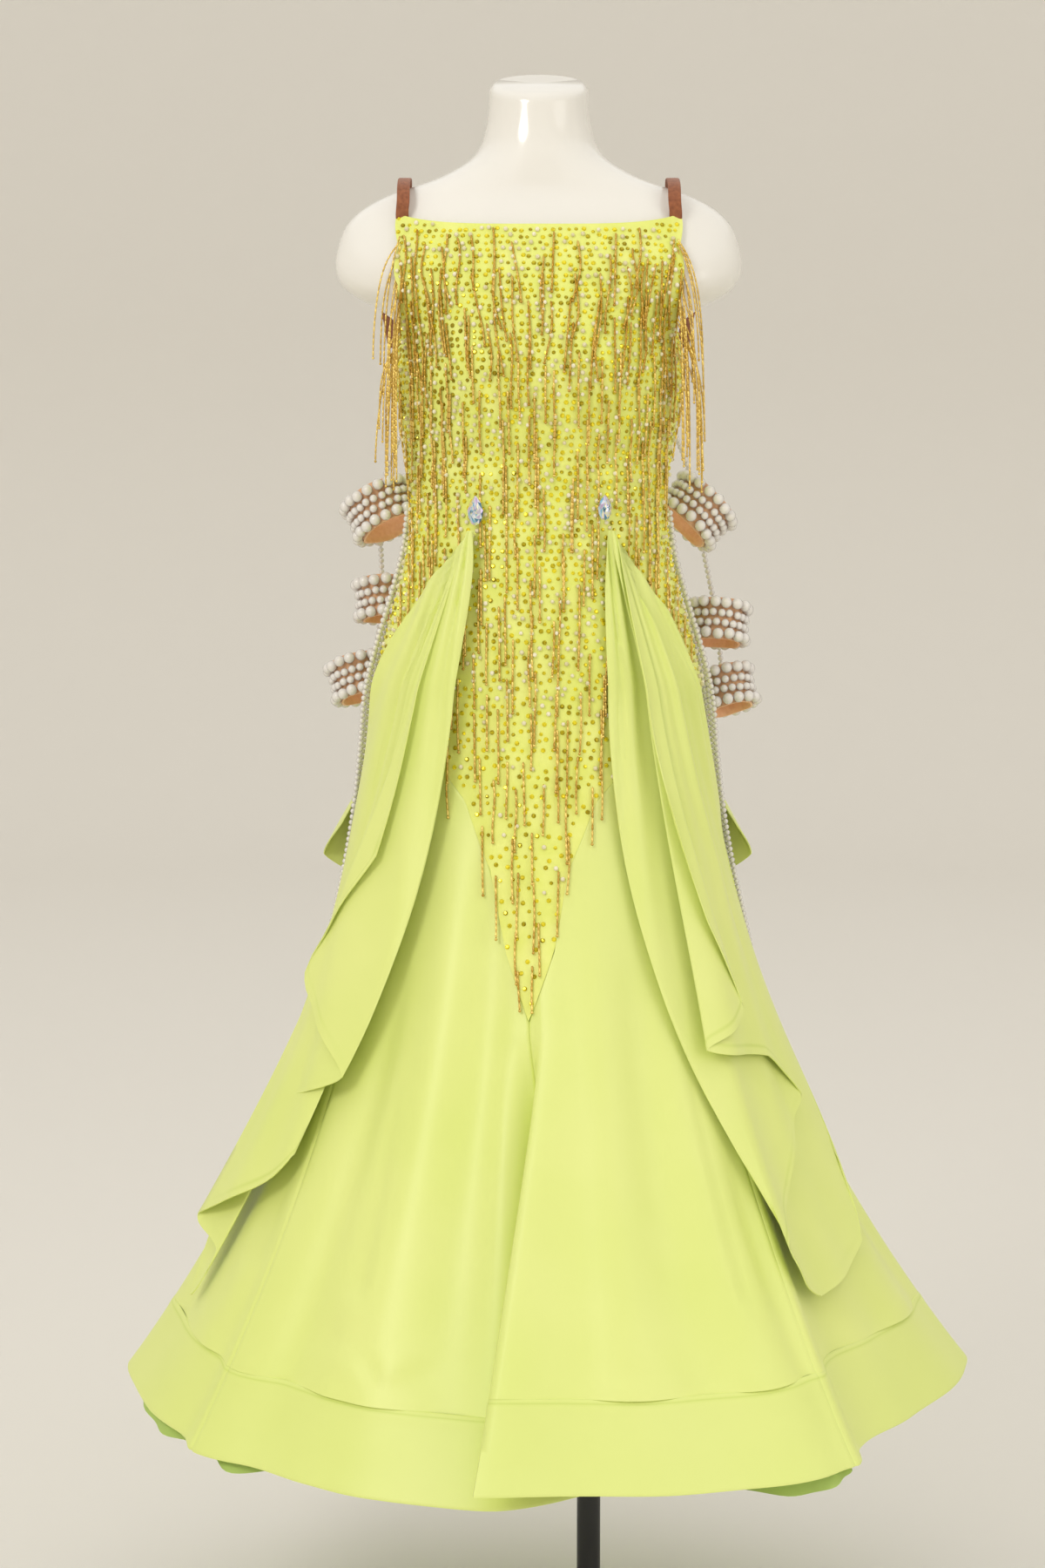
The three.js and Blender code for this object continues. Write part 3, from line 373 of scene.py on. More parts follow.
def add_sheer():
    """The underskirt's thin cloth lets some light through."""
    made = satin("sheer", (0.66, 0.84, 0.27), (0.60, 0.80, 0.22), 0.5, 0.1)
    shader_of(made).inputs["Transmission Weight"].default_value = 0.25
    shader_of(made).inputs["IOR"].default_value = 1.15
    return made


SHEER = add_sheer()


def add_stretch():
    """Matte stretch crepe with a fine knit."""
    made = material("stretch", (0.83, 0.89, 0.24), 0.6, Sheen_Weight=0.12)
    paint(made, noise(made, 30, 3), [(0.35, (0.79, 0.86, 0.18)), (0.7, (0.87, 0.92, 0.27))])
    knit = bump(made, noise(made, 1500, 1, (1, 1, 0.5)), 0.35, 0.0003)
    bump(made, noise(made, 60, 2), 0.15, 0.002, knit)
    return made


STRETCH = add_stretch()


def add_jewel(name, dark, light, roughness, metallic):
    """Glass or metal beads: the tone attribute runs from their dark to their light colour."""
    made = material(name, light, roughness, Metallic=metallic)
    tone = node(made, "Attribute", attribute_name="tone").outputs["Fac"]
    paint(made, tone, [(0.0, dark), (1.0, light)])
    return made


STONE = add_jewel("citrine", (0.34, 0.26, 0.006), (1.0, 0.86, 0.04), 0.12, 0.45)
BUGLE = add_jewel("gold_bugle", (0.48, 0.26, 0.012), (1.0, 0.76, 0.22), 0.22, 0.45)
SEWN_PEARL = add_jewel("sewn_pearl", (0.72, 0.66, 0.36), (0.93, 0.88, 0.66), 0.22, 0.0)


def add_pearl():
    """Ivory pearl lustre, with a painted reflection: the colour turns grey toward the edges as the surface
    turns away.
    """
    made = material("pearl", (0.85, 0.82, 0.78), 0.2, Coat_Weight=0.6, Coat_Roughness=0.08)
    # Painted reflection: grey edges, from the Layer Weight facing.
    edge = node(made, "LayerWeight", Blend=0.35).outputs["Facing"]
    stops = [(0.0, (0.88, 0.85, 0.82)), (0.45, (0.72, 0.69, 0.66)), (0.9, (0.42, 0.38, 0.36))]
    paint(made, edge, stops)
    return made


PEARL = add_pearl()


def add_elastic(name, light, dark):
    """Elastic with ribs across it."""
    made = material(name, light, 0.75, Sheen_Weight=0.2)
    paint(made, noise(made, 260, 3), [(0.3, dark), (0.7, light)])
    bump(made, noise(made, 1400, 2), 0.5, 0.0005)
    return made


STRAP = add_elastic("strap_elastic", (0.36, 0.12, 0.045), (0.22, 0.065, 0.025))
CUFF = add_elastic("cuff_elastic", (0.95, 0.60, 0.36), (0.86, 0.50, 0.28))


def add_crystal():
    """Clear glass with a rainbow coating. Each facet's colour is picked at random from dark blue through
    lilac and yellow to white: partly the coating's colours, partly painted reflections and glints.
    """
    made = material("crystal", (0.8, 0.85, 0.95), 0.04, Transmission_Weight=0.15, IOR=1.7, Metallic=0.5)
    tone = node(made, "Attribute", attribute_name="tone").outputs["Fac"]
    stops = [(0.0, (0.06, 0.12, 0.22)), (0.22, (0.3, 0.6, 0.8)), (0.42, (0.95, 0.97, 1.0))]
    stops += [(0.62, (0.62, 0.42, 0.75)), (0.8, (0.85, 0.95, 0.9)), (1.0, (0.95, 0.85, 0.4))]
    paint(made, tone, stops)
    shader_of(made).inputs["Thin Film Thickness"].default_value = 380
    return made


CRYSTAL = add_crystal()


def add_lacquer():
    """The form's glossy white lacquer, with a slight orange peel."""
    made = material("form_lacquer", (0.86, 0.84, 0.79), 0.16, Coat_Weight=0.5, Coat_Roughness=0.05)
    paint(made, noise(made, 3), [(0.3, (0.83, 0.81, 0.76)), (0.7, (0.88, 0.86, 0.81))])
    bump(made, noise(made, 60, 2), 0.02, 0.002)
    return made


LACQUER = add_lacquer()


def add_steel():
    """Satin black powder coat."""
    made = material("stand_paint", (0.012, 0.012, 0.013), 0.38)
    bump(made, noise(made, 900, 2), 0.12, 0.0004)
    rough = ramp(made, noise(made, 25, 4), [(0.3, (0.3, 0.3, 0.3)), (0.7, (0.46, 0.46, 0.46))])
    link(made, rough, shader_of(made).inputs["Roughness"])
    return made


STEEL = add_steel()


# ---- Mesh helpers ----
def add_mesh(name, points, faces, finish, replaces=(), attributes=None, sharp=None):
    """A mesh piece from points in millimetres on the figure. Its faces are turned to point out."""
    points = np.asarray(points, float)
    fans = [f[:, [0, k, k + 1]] for f in faces for k in range(1, f.shape[1] - 1)]
    a, b, c = np.moveaxis(points[np.concatenate(fans)], 1, 0)
    volume = np.einsum("ij,ij->i", a, np.cross(b, c)).sum()
    rows = [row for f in faces for row in (f[:, ::-1] if volume < 0 else f).tolist()]
    data = bpy.data.meshes.new(name)
    data.from_pydata(((points + FIGURE_PLACE) * MM).tolist(), [], rows)
    for key, values in (attributes or {}).items():
        data.attributes.new(key, "FLOAT", "POINT").data.foreach_set("value", np.asarray(values, float))
    data.materials.append(finish)
    data.shade_smooth()
    if sharp is not None:
        data.set_sharp_from_angle(angle=math.radians(sharp))
    data.update()
    piece = bpy.data.objects.new(name, data)
    bpy.context.collection.objects.link(piece)
    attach(piece, "root")
    if replaces:
        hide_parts(*replaces)
    return piece


def shell(outer, inner):
    """The points and faces of a closed wall between two grids of points."""
    columns, rows = outer.shape[:2]
    count = columns * rows
    index = np.arange(count).reshape(columns, rows)
    quads = lambda g: np.stack([g[:-1, :-1], g[:-1, 1:], g[1:, 1:], g[1:, :-1]], -1).reshape(-1, 4)
    rim = np.concatenate([index[:, 0], index[-1, 1:], index[-2::-1, -1], index[0, -2:0:-1]])
    after = np.roll(rim, -1)
    edge = np.stack([rim, after, after + count, rim + count], -1)
    faces = np.concatenate([quads(index), quads(index + count)[:, ::-1], edge])
    return np.concatenate([outer.reshape(-1, 3), inner.reshape(-1, 3)]), [faces]


def grid_area(grid):
    """The area of a grid of points, and the longest runs across and down it, in metres."""
    u, v = grid[1:, :-1] - grid[:-1, :-1], grid[:-1, 1:] - grid[:-1, :-1]
    area = np.linalg.norm(np.cross(u, v), axis=-1).sum()
    across = np.linalg.norm(np.diff(grid, axis=0), axis=-1).sum(0).max()
    down = np.linalg.norm(np.diff(grid, axis=1), axis=-1).sum(1).max()
    return area * MM**2, across * MM, down * MM


def declare_sheet(grid):
    """Works out a cloth's flat size and its area, held to at least 0.31 of its rectangle, and does nothing
    more with them.
    """
    area, across, down = grid_area(grid)
    area = min(max(area, 0.31 * across * down), across * down)


def add_cloth(name, walls, finish, replaced, stitches=None, sharp=70):
    """A wall of cloth between two grids of points, its outside first."""
    points, faces = shell(*walls)
    marks = None if stitches is None else {"stitch": np.concatenate([row.ravel() for row in stitches])}
    piece = add_mesh(name, points, faces, finish, [replaced], marks, sharp)
    declare_sheet(walls[0])


def capped(columns, foot, top):
    """The points and faces of a solid: columns of points all the way round, and its two ends."""
    sides, steps = columns.shape[:2]
    count = sides * steps
    index = np.arange(count).reshape(sides, steps)
    after = np.roll(index, -1, 0)
    quads = np.stack([index[:, :-1], after[:, :-1], after[:, 1:], index[:, 1:]], -1).reshape(-1, 4)
    ends = [np.stack([np.full(sides, count), after[:, 0], index[:, 0]], -1),
            np.stack([np.full(sides, count + 1), index[:, -1], after[:, -1]], -1)]
    return np.concatenate([columns.reshape(-1, 3), [foot, top]]), [quads, *ends]


def lathe(profile, sides):
    """The points and faces of a turned solid; the profile's ends lie on the axis."""
    profile = np.asarray(profile, float)
    turn = np.linspace(0, 2 * math.pi, sides, endpoint=False)
    radius, level = profile[1:-1].T
    level = np.broadcast_to(level, (sides, len(level)))
    columns = np.stack([np.outer(np.cos(turn), radius), np.outer(np.sin(turn), radius), level], -1)
    return capped(columns, (0, 0, profile[0, 1]), (0, 0, profile[-1, 1]))


def copies(template, faces, places, frames, scales):
    """Joins copies of a small closed shape. frames holds each copy's three axes as rows."""
    template = np.asarray(template, float)
    local = template[None] * np.asarray(scales)[:, None, :]
    points = np.einsum("nij,njk->nik", local, frames) + places[:, None]
    count = len(template)
    shift = np.arange(len(places)) * count
    joined = [(f[None] + shift[:, None, None]).reshape(-1, f.shape[1]) for f in faces]
    return points.reshape(-1, 3), joined


def frames_for(normals, turns):
    """Three axes for each normal, turned about it."""
    side = unit(np.cross(normals, (0.0, 0.0, 1.0)))
    up = np.cross(side, normals)
    c, s = np.cos(turns)[:, None], np.sin(turns)[:, None]
    return np.stack([side * c + up * s, up * c - side * s, normals], 1)


def ball(sides, rings):
    """A unit ball with flat poles, as a lathe."""
    angle = np.linspace(-math.pi / 2, math.pi / 2, rings + 1)
    return lathe(np.stack([np.cos(angle) * (np.abs(np.sin(angle)) < 0.999), np.sin(angle)], -1), sides)


def pearls_on(places, radii, sides, rings):
    template, faces = ball(sides, rings)
    frames = np.broadcast_to(np.eye(3), (len(places), 3, 3))
    scales = np.repeat(np.asarray(radii, float)[:, None], 3, 1)
    return copies(template, faces, places, frames, scales)


# ---- Hanging pearl strands ----
STRAND_PEARL = 6  # diameter
# Azimuth, level and distance from the dress; each hangs free between its first and last place.
# Below the waist both loops are this much further out, to hang clear of the drapes and ruffles.
LOOP_CLEAR = {"out": 5, "from": 1120, "full": 970}
LONG_LOOP = [
    (96, 1166, 6), (96, 1130, 6.5), (96, 1080, 6.5), (96, 1030, 7), (96.5, 980, 9),
    (97, 920, 12), (97.5, 860, 13), (98, 800, 14), (98.5, 750, 15), (99, 718, 15),
    (100.5, 700, 15), (103, 693, 15), (105.5, 700, 15), (107, 718, 14), (107.5, 750, 14),
    (107.5, 800, 13), (107.5, 860, 12), (107.5, 920, 11), (107.5, 980, 8),
    (107.5, 1030, 6.5), (107.5, 1080, 6),
]
SHORT_LOOP = [
    (100, 1150, 6), (100, 1110, 6.5), (100, 1060, 7), (100, 1010, 7.5), (100.3, 960, 9),
    (100.6, 900, 12), (100.9, 850, 13), (101.2, 800, 13.5), (101.6, 775, 14), (102.8, 764, 14),
    (104, 775, 13.5), (104.3, 800, 13), (104.3, 850, 12.5), (104.3, 900, 11.5), (104.3, 960, 9),
    (104.3, 1010, 7), (104.3, 1050, 6),
]
# The strand behind the cuffs, in plain places from the underarm down.
LINK_LEFT = [
    (-138, 58, 1262), (-150, 92, 1240), (-164, 116, 1205), (-170, 127, 1160), (-169, 129, 1110),
    (-169, 130, 1070), (-174, 130, 1030), (-184, 130, 995), (-188, 129, 962),
]
LINK_RIGHT = [
    (138, 58, 1262), (150, 92, 1240), (164, 116, 1205), (172, 124, 1160), (182, 125, 1110),
    (192, 126, 1060), (198, 128, 1010), (202, 129, 978), (203, 128, 950),
]


def add_strand(name, points):
    """A strand of touching pearls along a curve through these points."""
    places, length = route(points, STRAND_PEARL)
    mesh, faces = pearls_on(places, np.full(len(places), STRAND_PEARL / 2), 10, 6)
    piece = add_mesh(name + "_pearls", mesh, faces, PEARL, [name])


for side, side_name in SIDES:
    for kind, loop in (("long", LONG_LOOP), ("short", SHORT_LOOP)):
        azimuth, level, out = (np.array([row[k] for row in loop], float) for k in range(3))
        out = out + LOOP_CLEAR["out"] * part_way(level, LOOP_CLEAR["from"], LOOP_CLEAR["full"])
        hung = dress_point(side * azimuth, level, False) + clear_out(side * azimuth) * out[:, None]
        add_strand(f"pearl_strand_{side_name}_{kind}", hung)
    add_strand(f"pearl_strand_{side_name}_link", LINK_LEFT if side < 0 else LINK_RIGHT)

# ---- Form and stand ----
PLATE_RADIUS, PLATE_HEIGHT = 170, 10
SOCKET_RADIUS, SOCKET_TOP = 20, 36
POLE_RADIUS = 12.5
TOUCH_GAP = 0.3  # between the plate, the pole and the form


def add_form():
    """The form up to its tilted neck end, both of its cut ends rounded over."""
    azimuth = np.linspace(-180, 180, 112, endpoint=False)[:, None]
    z = np.linspace(FORM_BOTTOM, FORM_TOP, 130)[None, :]
    points = form_point(azimuth, z)
    middle = np.stack([0 * z, table_at(FORM_SECTIONS, "z", "middle", z), z], -1)
    for end, edge, radius in ((FORM_BOTTOM, 8, 7), (FORM_TOP, 6, 5)):
        near = part_way(np.abs(z - end), edge, 0)
        pull = radius * (1 - np.sqrt(1 - near**2))
        away = points - middle
        reach = np.linalg.norm(away[..., :2], axis=-1, keepdims=True)
        points = middle + away * (1 - pull[..., None] / reach)
    lean = NECK_TILT["slope"] * part_way(z, NECK_TILT["from"], FORM_TOP)
    points[..., 2] += lean * (points[..., 1] - middle[..., 1])
    mesh, faces = capped(points, (0, 0, FORM_BOTTOM), (0, FORM_SECTIONS["middle"][-1], FORM_TOP))
    add_mesh("form_torso_shell", mesh, faces, LACQUER, ["form_torso"], sharp=50)


def add_stand():
    """The round plate, and the pole with its socket, both with softened edges."""
    plate = [
        (0, 0), (PLATE_RADIUS - 2, 0), (PLATE_RADIUS - 0.6, 0.6), (PLATE_RADIUS, 2),
        (PLATE_RADIUS, PLATE_HEIGHT - 2), (PLATE_RADIUS - 0.6, PLATE_HEIGHT - 0.6),
        (PLATE_RADIUS - 2, PLATE_HEIGHT), (0, PLATE_HEIGHT),
    ]
    foot, top = PLATE_HEIGHT + TOUCH_GAP, form_low.z / MM - TOUCH_GAP
    pole = [
        (0, foot), (SOCKET_RADIUS, foot), (SOCKET_RADIUS, SOCKET_TOP - 1.5),
        (SOCKET_RADIUS - 1.5, SOCKET_TOP), (POLE_RADIUS, SOCKET_TOP),
        (POLE_RADIUS, top - 1), (POLE_RADIUS - 1, top), (0, top),
    ]
    for name, profile in (("stand_base", plate), ("stand_pole", pole)):
        points, faces = lathe(profile, 96)
        points -= FIGURE_PLACE
        add_mesh(name + "_round", points, faces, STEEL, [name], sharp=40)


add_form()
add_stand()

# ---- Bodice ----
BODICE_WALL = 1.5
WAIST_SEAM, WAIST_CREASE, BUST_HOLLOW = 1194, 1202, 1222  # levels
EDGE_ROLL, EDGE_WIDTH = 0.7, 3  # the turned edges stand up a little


def relief(azimuth, z):
    """The waist seam's groove and the soft hollow under the bust."""
    front = np.maximum(0, np.cos(np.radians(azimuth))) ** 1.5
    seam = -0.9 * hump(z, WAIST_SEAM, 1.8)
    hollow = -3.8 * hump(z, BUST_HOLLOW, 15)
    crease = 0.8 * hump(z - 4 * np.sin(azimuth / 9), WAIST_CREASE, 4)
    return front * (seam + hollow + crease)


def bodice_point(azimuth, z, out=0.0):
    lift = relief(azimuth, z) + out
    return dress_point(azimuth, z, False) + outward(azimuth, z, False) * lift[..., None]


def front_top(side):
    """The neckline's level from one armhole, at -1, to the other, at 1."""
    return mix(NECKLINE["middle"], NECKLINE["side"], np.abs(side) ** 3.2)


def front_grid(out):
    side = np.linspace(-1, 1, 110)[:, None]
    share = np.linspace(0, 1, 140)[None, :]
    z = mix(front_top(side), yoke_z(side * 90), share)
    azimuth = side * front_reach(z)
    edge = np.minimum(front_top(side) - z, 150 * (1 - np.abs(side)))
    rolled = EDGE_ROLL * hump(edge, 0, EDGE_WIDTH)
    return bodice_point(azimuth, z, out + rolled)


def back_grid(out):
    share = np.linspace(0, 1, 90)[:, None]
    azimuth = wrapped(mix(90, 270, share) + 1e-6)
    top = mix(BACK_TOP["side"], BACK_TOP["middle"], np.sin(np.pi * share) ** 1.2)
    z = mix(top, YOKE["z"][-1], np.linspace(0, 1, 60)[None, :])
    azimuth = np.broadcast_to(azimuth, z.shape)
    rolled = EDGE_ROLL * hump(top - z, 0, EDGE_WIDTH)
    pull = 0.6 * np.sin(z / 9 + azimuth / 7) * hump(z, 1150, 70)
    lift = rolled + pull + out
    return dress_point(azimuth, z, False) + outward(azimuth, z, False) * lift[..., None]


for name, grid in (("bodice_front", front_grid), ("bodice_back", back_grid)):
    add_cloth(name + "_cloth", (grid(0.0), grid(-BODICE_WALL)), STRETCH, name,
              sharp=60)


# ---- Stones and sewn pearls ----
STONE_GAP = table(
    "z gap keep",
    (660, 15, 0.8), (760, 13, 0.85), (900, 10.5, 0.9), (1050, 8.8, 0.97), (1150, 8.0, 1.0),
    (1470, 7.8, 1.0),
)
STONES_TOP, STONES_FOOT = 1462.0, 672


def stone_places():
    """Staggered rows of places over the front panel: azimuth and level."""
    azimuths, levels = [], []
    side = np.linspace(-0.985, 0.985, 300)
    z = STONES_TOP
    odd = 0
    while z > STONES_FOOT:
        gap = line_at(STONE_GAP, "z", "gap", z)
        run = run_along(bodice_point(side * front_reach(z), np.full(len(side), z)))
        at = np.arange(gap * (0.25 + 0.5 * odd), run[-1], gap)
        at = at + rng.normal(0, 0.13 * gap, len(at))
        place = np.interp(at, run, side)
        level = z + rng.normal(0, 0.12 * gap, len(at))
        azimuth = place * front_reach(level)
        inside = (level < front_top(place) - 3) & (level > yoke_z(azimuth) + 5)
        kept = inside & (rng.random(len(at)) < line_at(STONE_GAP, "z", "keep", z))
        azimuths.append(azimuth[kept])
        levels.append(level[kept])
        z -= gap * 0.88
        odd = 1 - odd
    return np.concatenate(azimuths), np.concatenate(levels)


def surface_normals(azimuth, z):
    """The direction straight out of the front panel, which isn't level."""
    level = outward(azimuth, z, False)
    up = bodice_point(azimuth, z + 2) - bodice_point(azimuth, z - 2)
    side = np.stack([-level[:, 1], level[:, 0], np.zeros(len(level))], -1)
    return unit(np.cross(side, up))


def add_stones():
    """Faceted citrine stones over the front panel, with sewn pearls among them."""
    azimuth, z = stone_places()
    is_pearl = rng.random(len(z)) < np.where(z > 950, 0.25, 0.12)
    where = bodice_point(azimuth, z, np.full(len(z), 0.15))
    normals = surface_normals(azimuth, z)
    tilted = unit(normals + rng.normal(0, 0.09, normals.shape))

    stones = ~is_pearl
    count = stones.sum()
    template, faces = lathe([(0, 0), (1, 0), (0.97, 0.2), (0.56, 0.72), (0, 0.72)], 8)
    radius = np.where(rng.random(count) < 0.6, 2.45, 1.95)
    scales = np.repeat(radius[:, None], 3, 1)
    frames = frames_for(tilted[stones], rng.random(count) * 6.28)
    points, joined = copies(template, faces, where[stones], frames, scales)
    at = where[stones]
    # Painted shade: the stones under the left bust get a darker tone. The random tone of each point within
    # a stone is painted sparkle.
    painted_shade = 0.55 * hump(at[:, 0], -98, 34) * hump(at[:, 2], 1285, 95)
    tone = np.repeat(rng.random(count) ** 0.6 - painted_shade, len(template)) + rng.normal(0, 0.2, len(points))
    add_mesh("citrine_stones", points, joined, STONE, ["bead_fringe"],
             {"tone": np.clip(tone, 0, 1)}, sharp=12)

    count = is_pearl.sum()
    places = where[is_pearl] + normals[is_pearl] * 1.5
    radius = rng.choice([2.5, 2.3, 2.1], count)
    points, joined = pearls_on(places, radius, 8, 5)
    tone = np.repeat(rng.random(count), len(points) // count)
    add_mesh("sewn_pearls", points, joined, SEWN_PEARL, (), {"tone": tone})


add_stones()

# ---- Bead strands ----
BUGLE_LENGTH = 6.0
BUGLE_RADIUS = 1.2
STRAND_SIDES = 5


def strand_levels(length):
    """Distances down a strand and its radius there: bugle beads and one round end bead."""
    count = max(3, int(round(length / BUGLE_LENGTH)))
    downs, radii = [], []
    for k in range(count):
        start = k * BUGLE_LENGTH
        downs += [start, start + 0.8, start + BUGLE_LENGTH - 0.8]
        radii += [0.45 * BUGLE_RADIUS, BUGLE_RADIUS, BUGLE_RADIUS]
    end = count * BUGLE_LENGTH
    downs += [end, end + 0.7, end + 2.0, end + 2.9]
    radii += [0.4, 1.6, 1.7, 0.5]
    return np.array(downs), np.array(radii)


def add_strands(name, paths, tone_low, tone_high, replaces=()):
    """Joins five-sided bead strands that follow these (points, radii) paths."""
    all_points, all_quads, all_caps, tones = [], [], [], []
    first = 0
    for points, radii in paths:
        along = unit(np.gradient(points, axis=0))
        side = unit(np.cross(along, (0.15, 1.0, 0.1)))
        face = np.cross(side, along)
        turn = np.radians(np.arange(STRAND_SIDES) * 360 / STRAND_SIDES + 18)
        ring = side[:, None] * np.cos(turn)[None, :, None] + face[:, None] * np.sin(turn)[None, :, None]
        tube = points[:, None] + ring * radii[:, None, None]
        count = len(points)
        index = first + np.arange(count * STRAND_SIDES).reshape(count, STRAND_SIDES)
        after = np.roll(index, -1, 1)
        all_points.append(tube.reshape(-1, 3))
        all_quads.append(np.stack([index[:-1], after[:-1], after[1:], index[1:]], -1).reshape(-1, 4))
        all_caps += [index[0][::-1], index[-1]]
        bead = np.repeat(rng.uniform(tone_low, tone_high, count // 3 + 2), 3)[:count]
        tones.append(np.repeat(np.where(radii < 0.6, 0.0, bead), STRAND_SIDES))
        first += count * STRAND_SIDES
    faces = [np.concatenate(all_quads), np.array(all_caps)]
    add_mesh(name, np.concatenate(all_points), faces, BUGLE, replaces,
             {"tone": np.concatenate(tones)}, sharp=75)


STRAND_ROWS = table(
    "z gap length drift wave",
    (1452, 15, 66, 7, 3.0), (1428, 15, 70, 8, 3.5), (1404, 14, 74, 9, 3.5), (1378, 14, 72, 8, 3.0),
    (1350, 13, 66, 4, 2.0), (1322, 13, 66, 1.5, 1.0), (1294, 14, 68, 1, 0.8), (1266, 14, 70, 0.8, 0.6),
    (1238, 14, 66, 0.8, 0.6), (1210, 15, 68, 0.8, 0.6), (1182, 15, 66, 1, 0.8), (1152, 14, 62, 1, 0.8),
    (1122, 13, 62, 1, 0.8), (1092, 13, 66, 1.2, 0.8), (1062, 13, 66, 1.2, 1.0), (1030, 13, 66, 1.5, 1.0),
    (996, 13, 64, 1.5, 1.0), (962, 13, 64, 1.5, 1.0), (926, 13, 62, 1.5, 1.2), (888, 13, 60, 1.5, 1.2),
    (846, 13, 58, 1.5, 1.2), (800, 12, 56, 1.5, 1.2), (756, 11, 52, 1.5, 1.0), (722, 9, 44, 1.0, 0.8),
)
ROW_SPREAD = 1.9  # gaps between the strands of one row
SIDE_DENSITY = 2.4  # strands hang this much closer together at the bodice's sides
STRAND_OUT, STRAND_SWING = 2.3, 1.3315  # off the panel at its top, and how much more at its foot
CHEST_FOOT = 1340  # strands that start above this level have darker beads


def strand_starts():
    """Starting x and z of each strand, and its row."""
    starts = []
    side = np.linspace(-0.975, 0.975, 400)
    for row in rows_of(STRAND_ROWS):
        z, gap = row["z"], row["gap"]
        x = dress_point(side * front_reach(z), np.full(len(side), z), False)[:, 0]
        crowd = 1 + (SIDE_DENSITY - 1) * part_way(np.abs(x), 86, 116)
        run = np.concatenate([[0], np.cumsum(np.abs(np.diff(x)) * (crowd[1:] + crowd[:-1]) / 2)])
        at = np.arange(gap * rng.uniform(0.2, 1.6), run[-1], ROW_SPREAD * gap)
        place = np.interp(at + rng.normal(0, 0.35 * gap, len(at)), run, side)
        level = z + rng.uniform(-12, 12, len(at))
        azimuth = place * front_reach(level)
        inside = (level < front_top(place) - 4) & (level > yoke_z(azimuth) + 14)
        start_x = dress_point(azimuth, level, False)[:, 0]
        starts += [(sx, sz, row) for sx, sz in zip(start_x[inside], level[inside])]
    return starts


def add_front_strands():
    """Short strands in loose rows over the front, drifting toward its middle as they hang."""
    chest, waist, shapes = [], [], []
    for x, z, row in strand_starts():
        down, radii = strand_levels(row["length"] * rng.uniform(0.82, 1.15))
        t = down / down[-1]
        toward = -np.sign(x) * min(1, abs(x) / 25) * row["drift"] * rng.uniform(0.2, 1.3)
        swing = row["wave"] * rng.uniform(-1, 1)
        wave = swing * np.sin(t * rng.uniform(3, 6) + rng.uniform(0, 3))
        side_x = x + toward * t + (wave - wave[0])
        hang = STRAND_OUT + STRAND_SWING * t * rng.uniform(0.2, 1.0)
        shapes.append((side_x, z - down, hang, radii))
    x, z, out = (np.concatenate([shape[k] for shape in shapes]) for k in range(3))
    points = bodice_point(azimuth_of(x, z), z, out)
    first = 0
    for _, levels, _, radii in shapes:
        last = first + len(levels)
        (chest if levels[0] > CHEST_FOOT else waist).append((points[first:last], radii))
        first = last
    add_strands("chest_bead_strands", chest, 0.0, 0.5)
    add_strands("waist_bead_strands", waist, 0.15, 1.0)


add_front_strands()

SIDE_STRANDS = 21
SIDE_THINNESS = 0.78  # of the front strands' radius
ARMHOLE_X = 139.5


def add_side_strands(side, name):
    """Loose strands that start along the armhole's edge and hang clear of the body."""
    paths = []
    for k in range(SIDE_STRANDS):
        share = k / (SIDE_STRANDS - 1)
        top = mix(1440, 1330, share**1.1) + rng.uniform(-4, 4)
        highest, lowest = (1255, 1186) if share > 0.25 else (1330, 1240)
        foot = mix(highest, lowest, rng.random())
        down, radii = strand_levels(top - foot)
        t = down / down[-1]
        end_x = rng.uniform(143, 167)
        bow = 1 - np.exp(-t * rng.uniform(2.5, 5))
        x = mix(ARMHOLE_X, end_x, bow) + rng.uniform(-1, 1) * np.sin(t * 5)
        start_y = mix(-62, -52, share)
        y = mix(start_y, rng.uniform(-80, -62), np.minimum(1, 1.6 * bow))
        paths.append((np.stack([side * x, y, top - down], -1), SIDE_THINNESS * radii))
    add_strands(name + "_strands", paths, 0.35, 1.0, [name])


for side, side_name in SIDES:
    add_side_strands(side, f"side_fringe_{side_name}")

# ---- Skirt ----
GORES = [
    ("back_left", -180, -90), ("side_left", -90, -58), ("front_left", -58, YOKE_TIP),
    ("front_right", YOKE_TIP, 45), ("side_right", 45, 90), ("back_right", 90, 180),
]
SKIRT_WALL = 2.0
CREASE_HEIGHT, CREASE_WIDTH, RIPPLE_HEIGHT = 1.3, 1.5, 0.8  # of what the tables say
# Long soft ridges and troughs: azimuth and level at each end, height out of the cloth, width.
CREASES = table(
    "top_azimuth top foot_azimuth foot height wide",
    (-25, 860, -31, 120, 7, 4.2), (-15, 830, -19, 120, -8, 3.4), (-40, 720, -49, 150, -6, 2.2),
    (-8, 660, -11, 140, 4, 2.2), (-34, 640, -39, 140, 3.5, 2.0), (-66, 800, -70, 120, 6, 3.0),
    (-80, 820, -83, 120, -7, 3.2), (13, 800, 17, 120, 6, 3.6), (24, 760, 25, 120, -6, 3.2),
    (33, 700, 34, 120, 5, 3.0), (41, 560, 42, 160, -7, 2.0), (7, 560, 7, 120, -3.5, 2.0),
    (57, 760, 60, 120, -6, 3.0), (74, 820, 77, 120, 7, 3.6), (84, 700, 85, 140, -5, 2.4),
    (104, 800, 107, 130, 5, 3.0), (121, 760, 120, 120, -6, 3.4), (150, 800, 151, 120, 5, 3.4),
    (166, 700, 164, 140, -5, 2.8), (-103, 780, -106, 130, -5, 3.0), (-124, 800, -125, 120, 6, 3.6),
    (-141, 720, -140, 140, -5, 2.6), (-156, 800, -158, 120, 6, 3.2), (-172, 700, -171, 140, -4, 2.6),
)
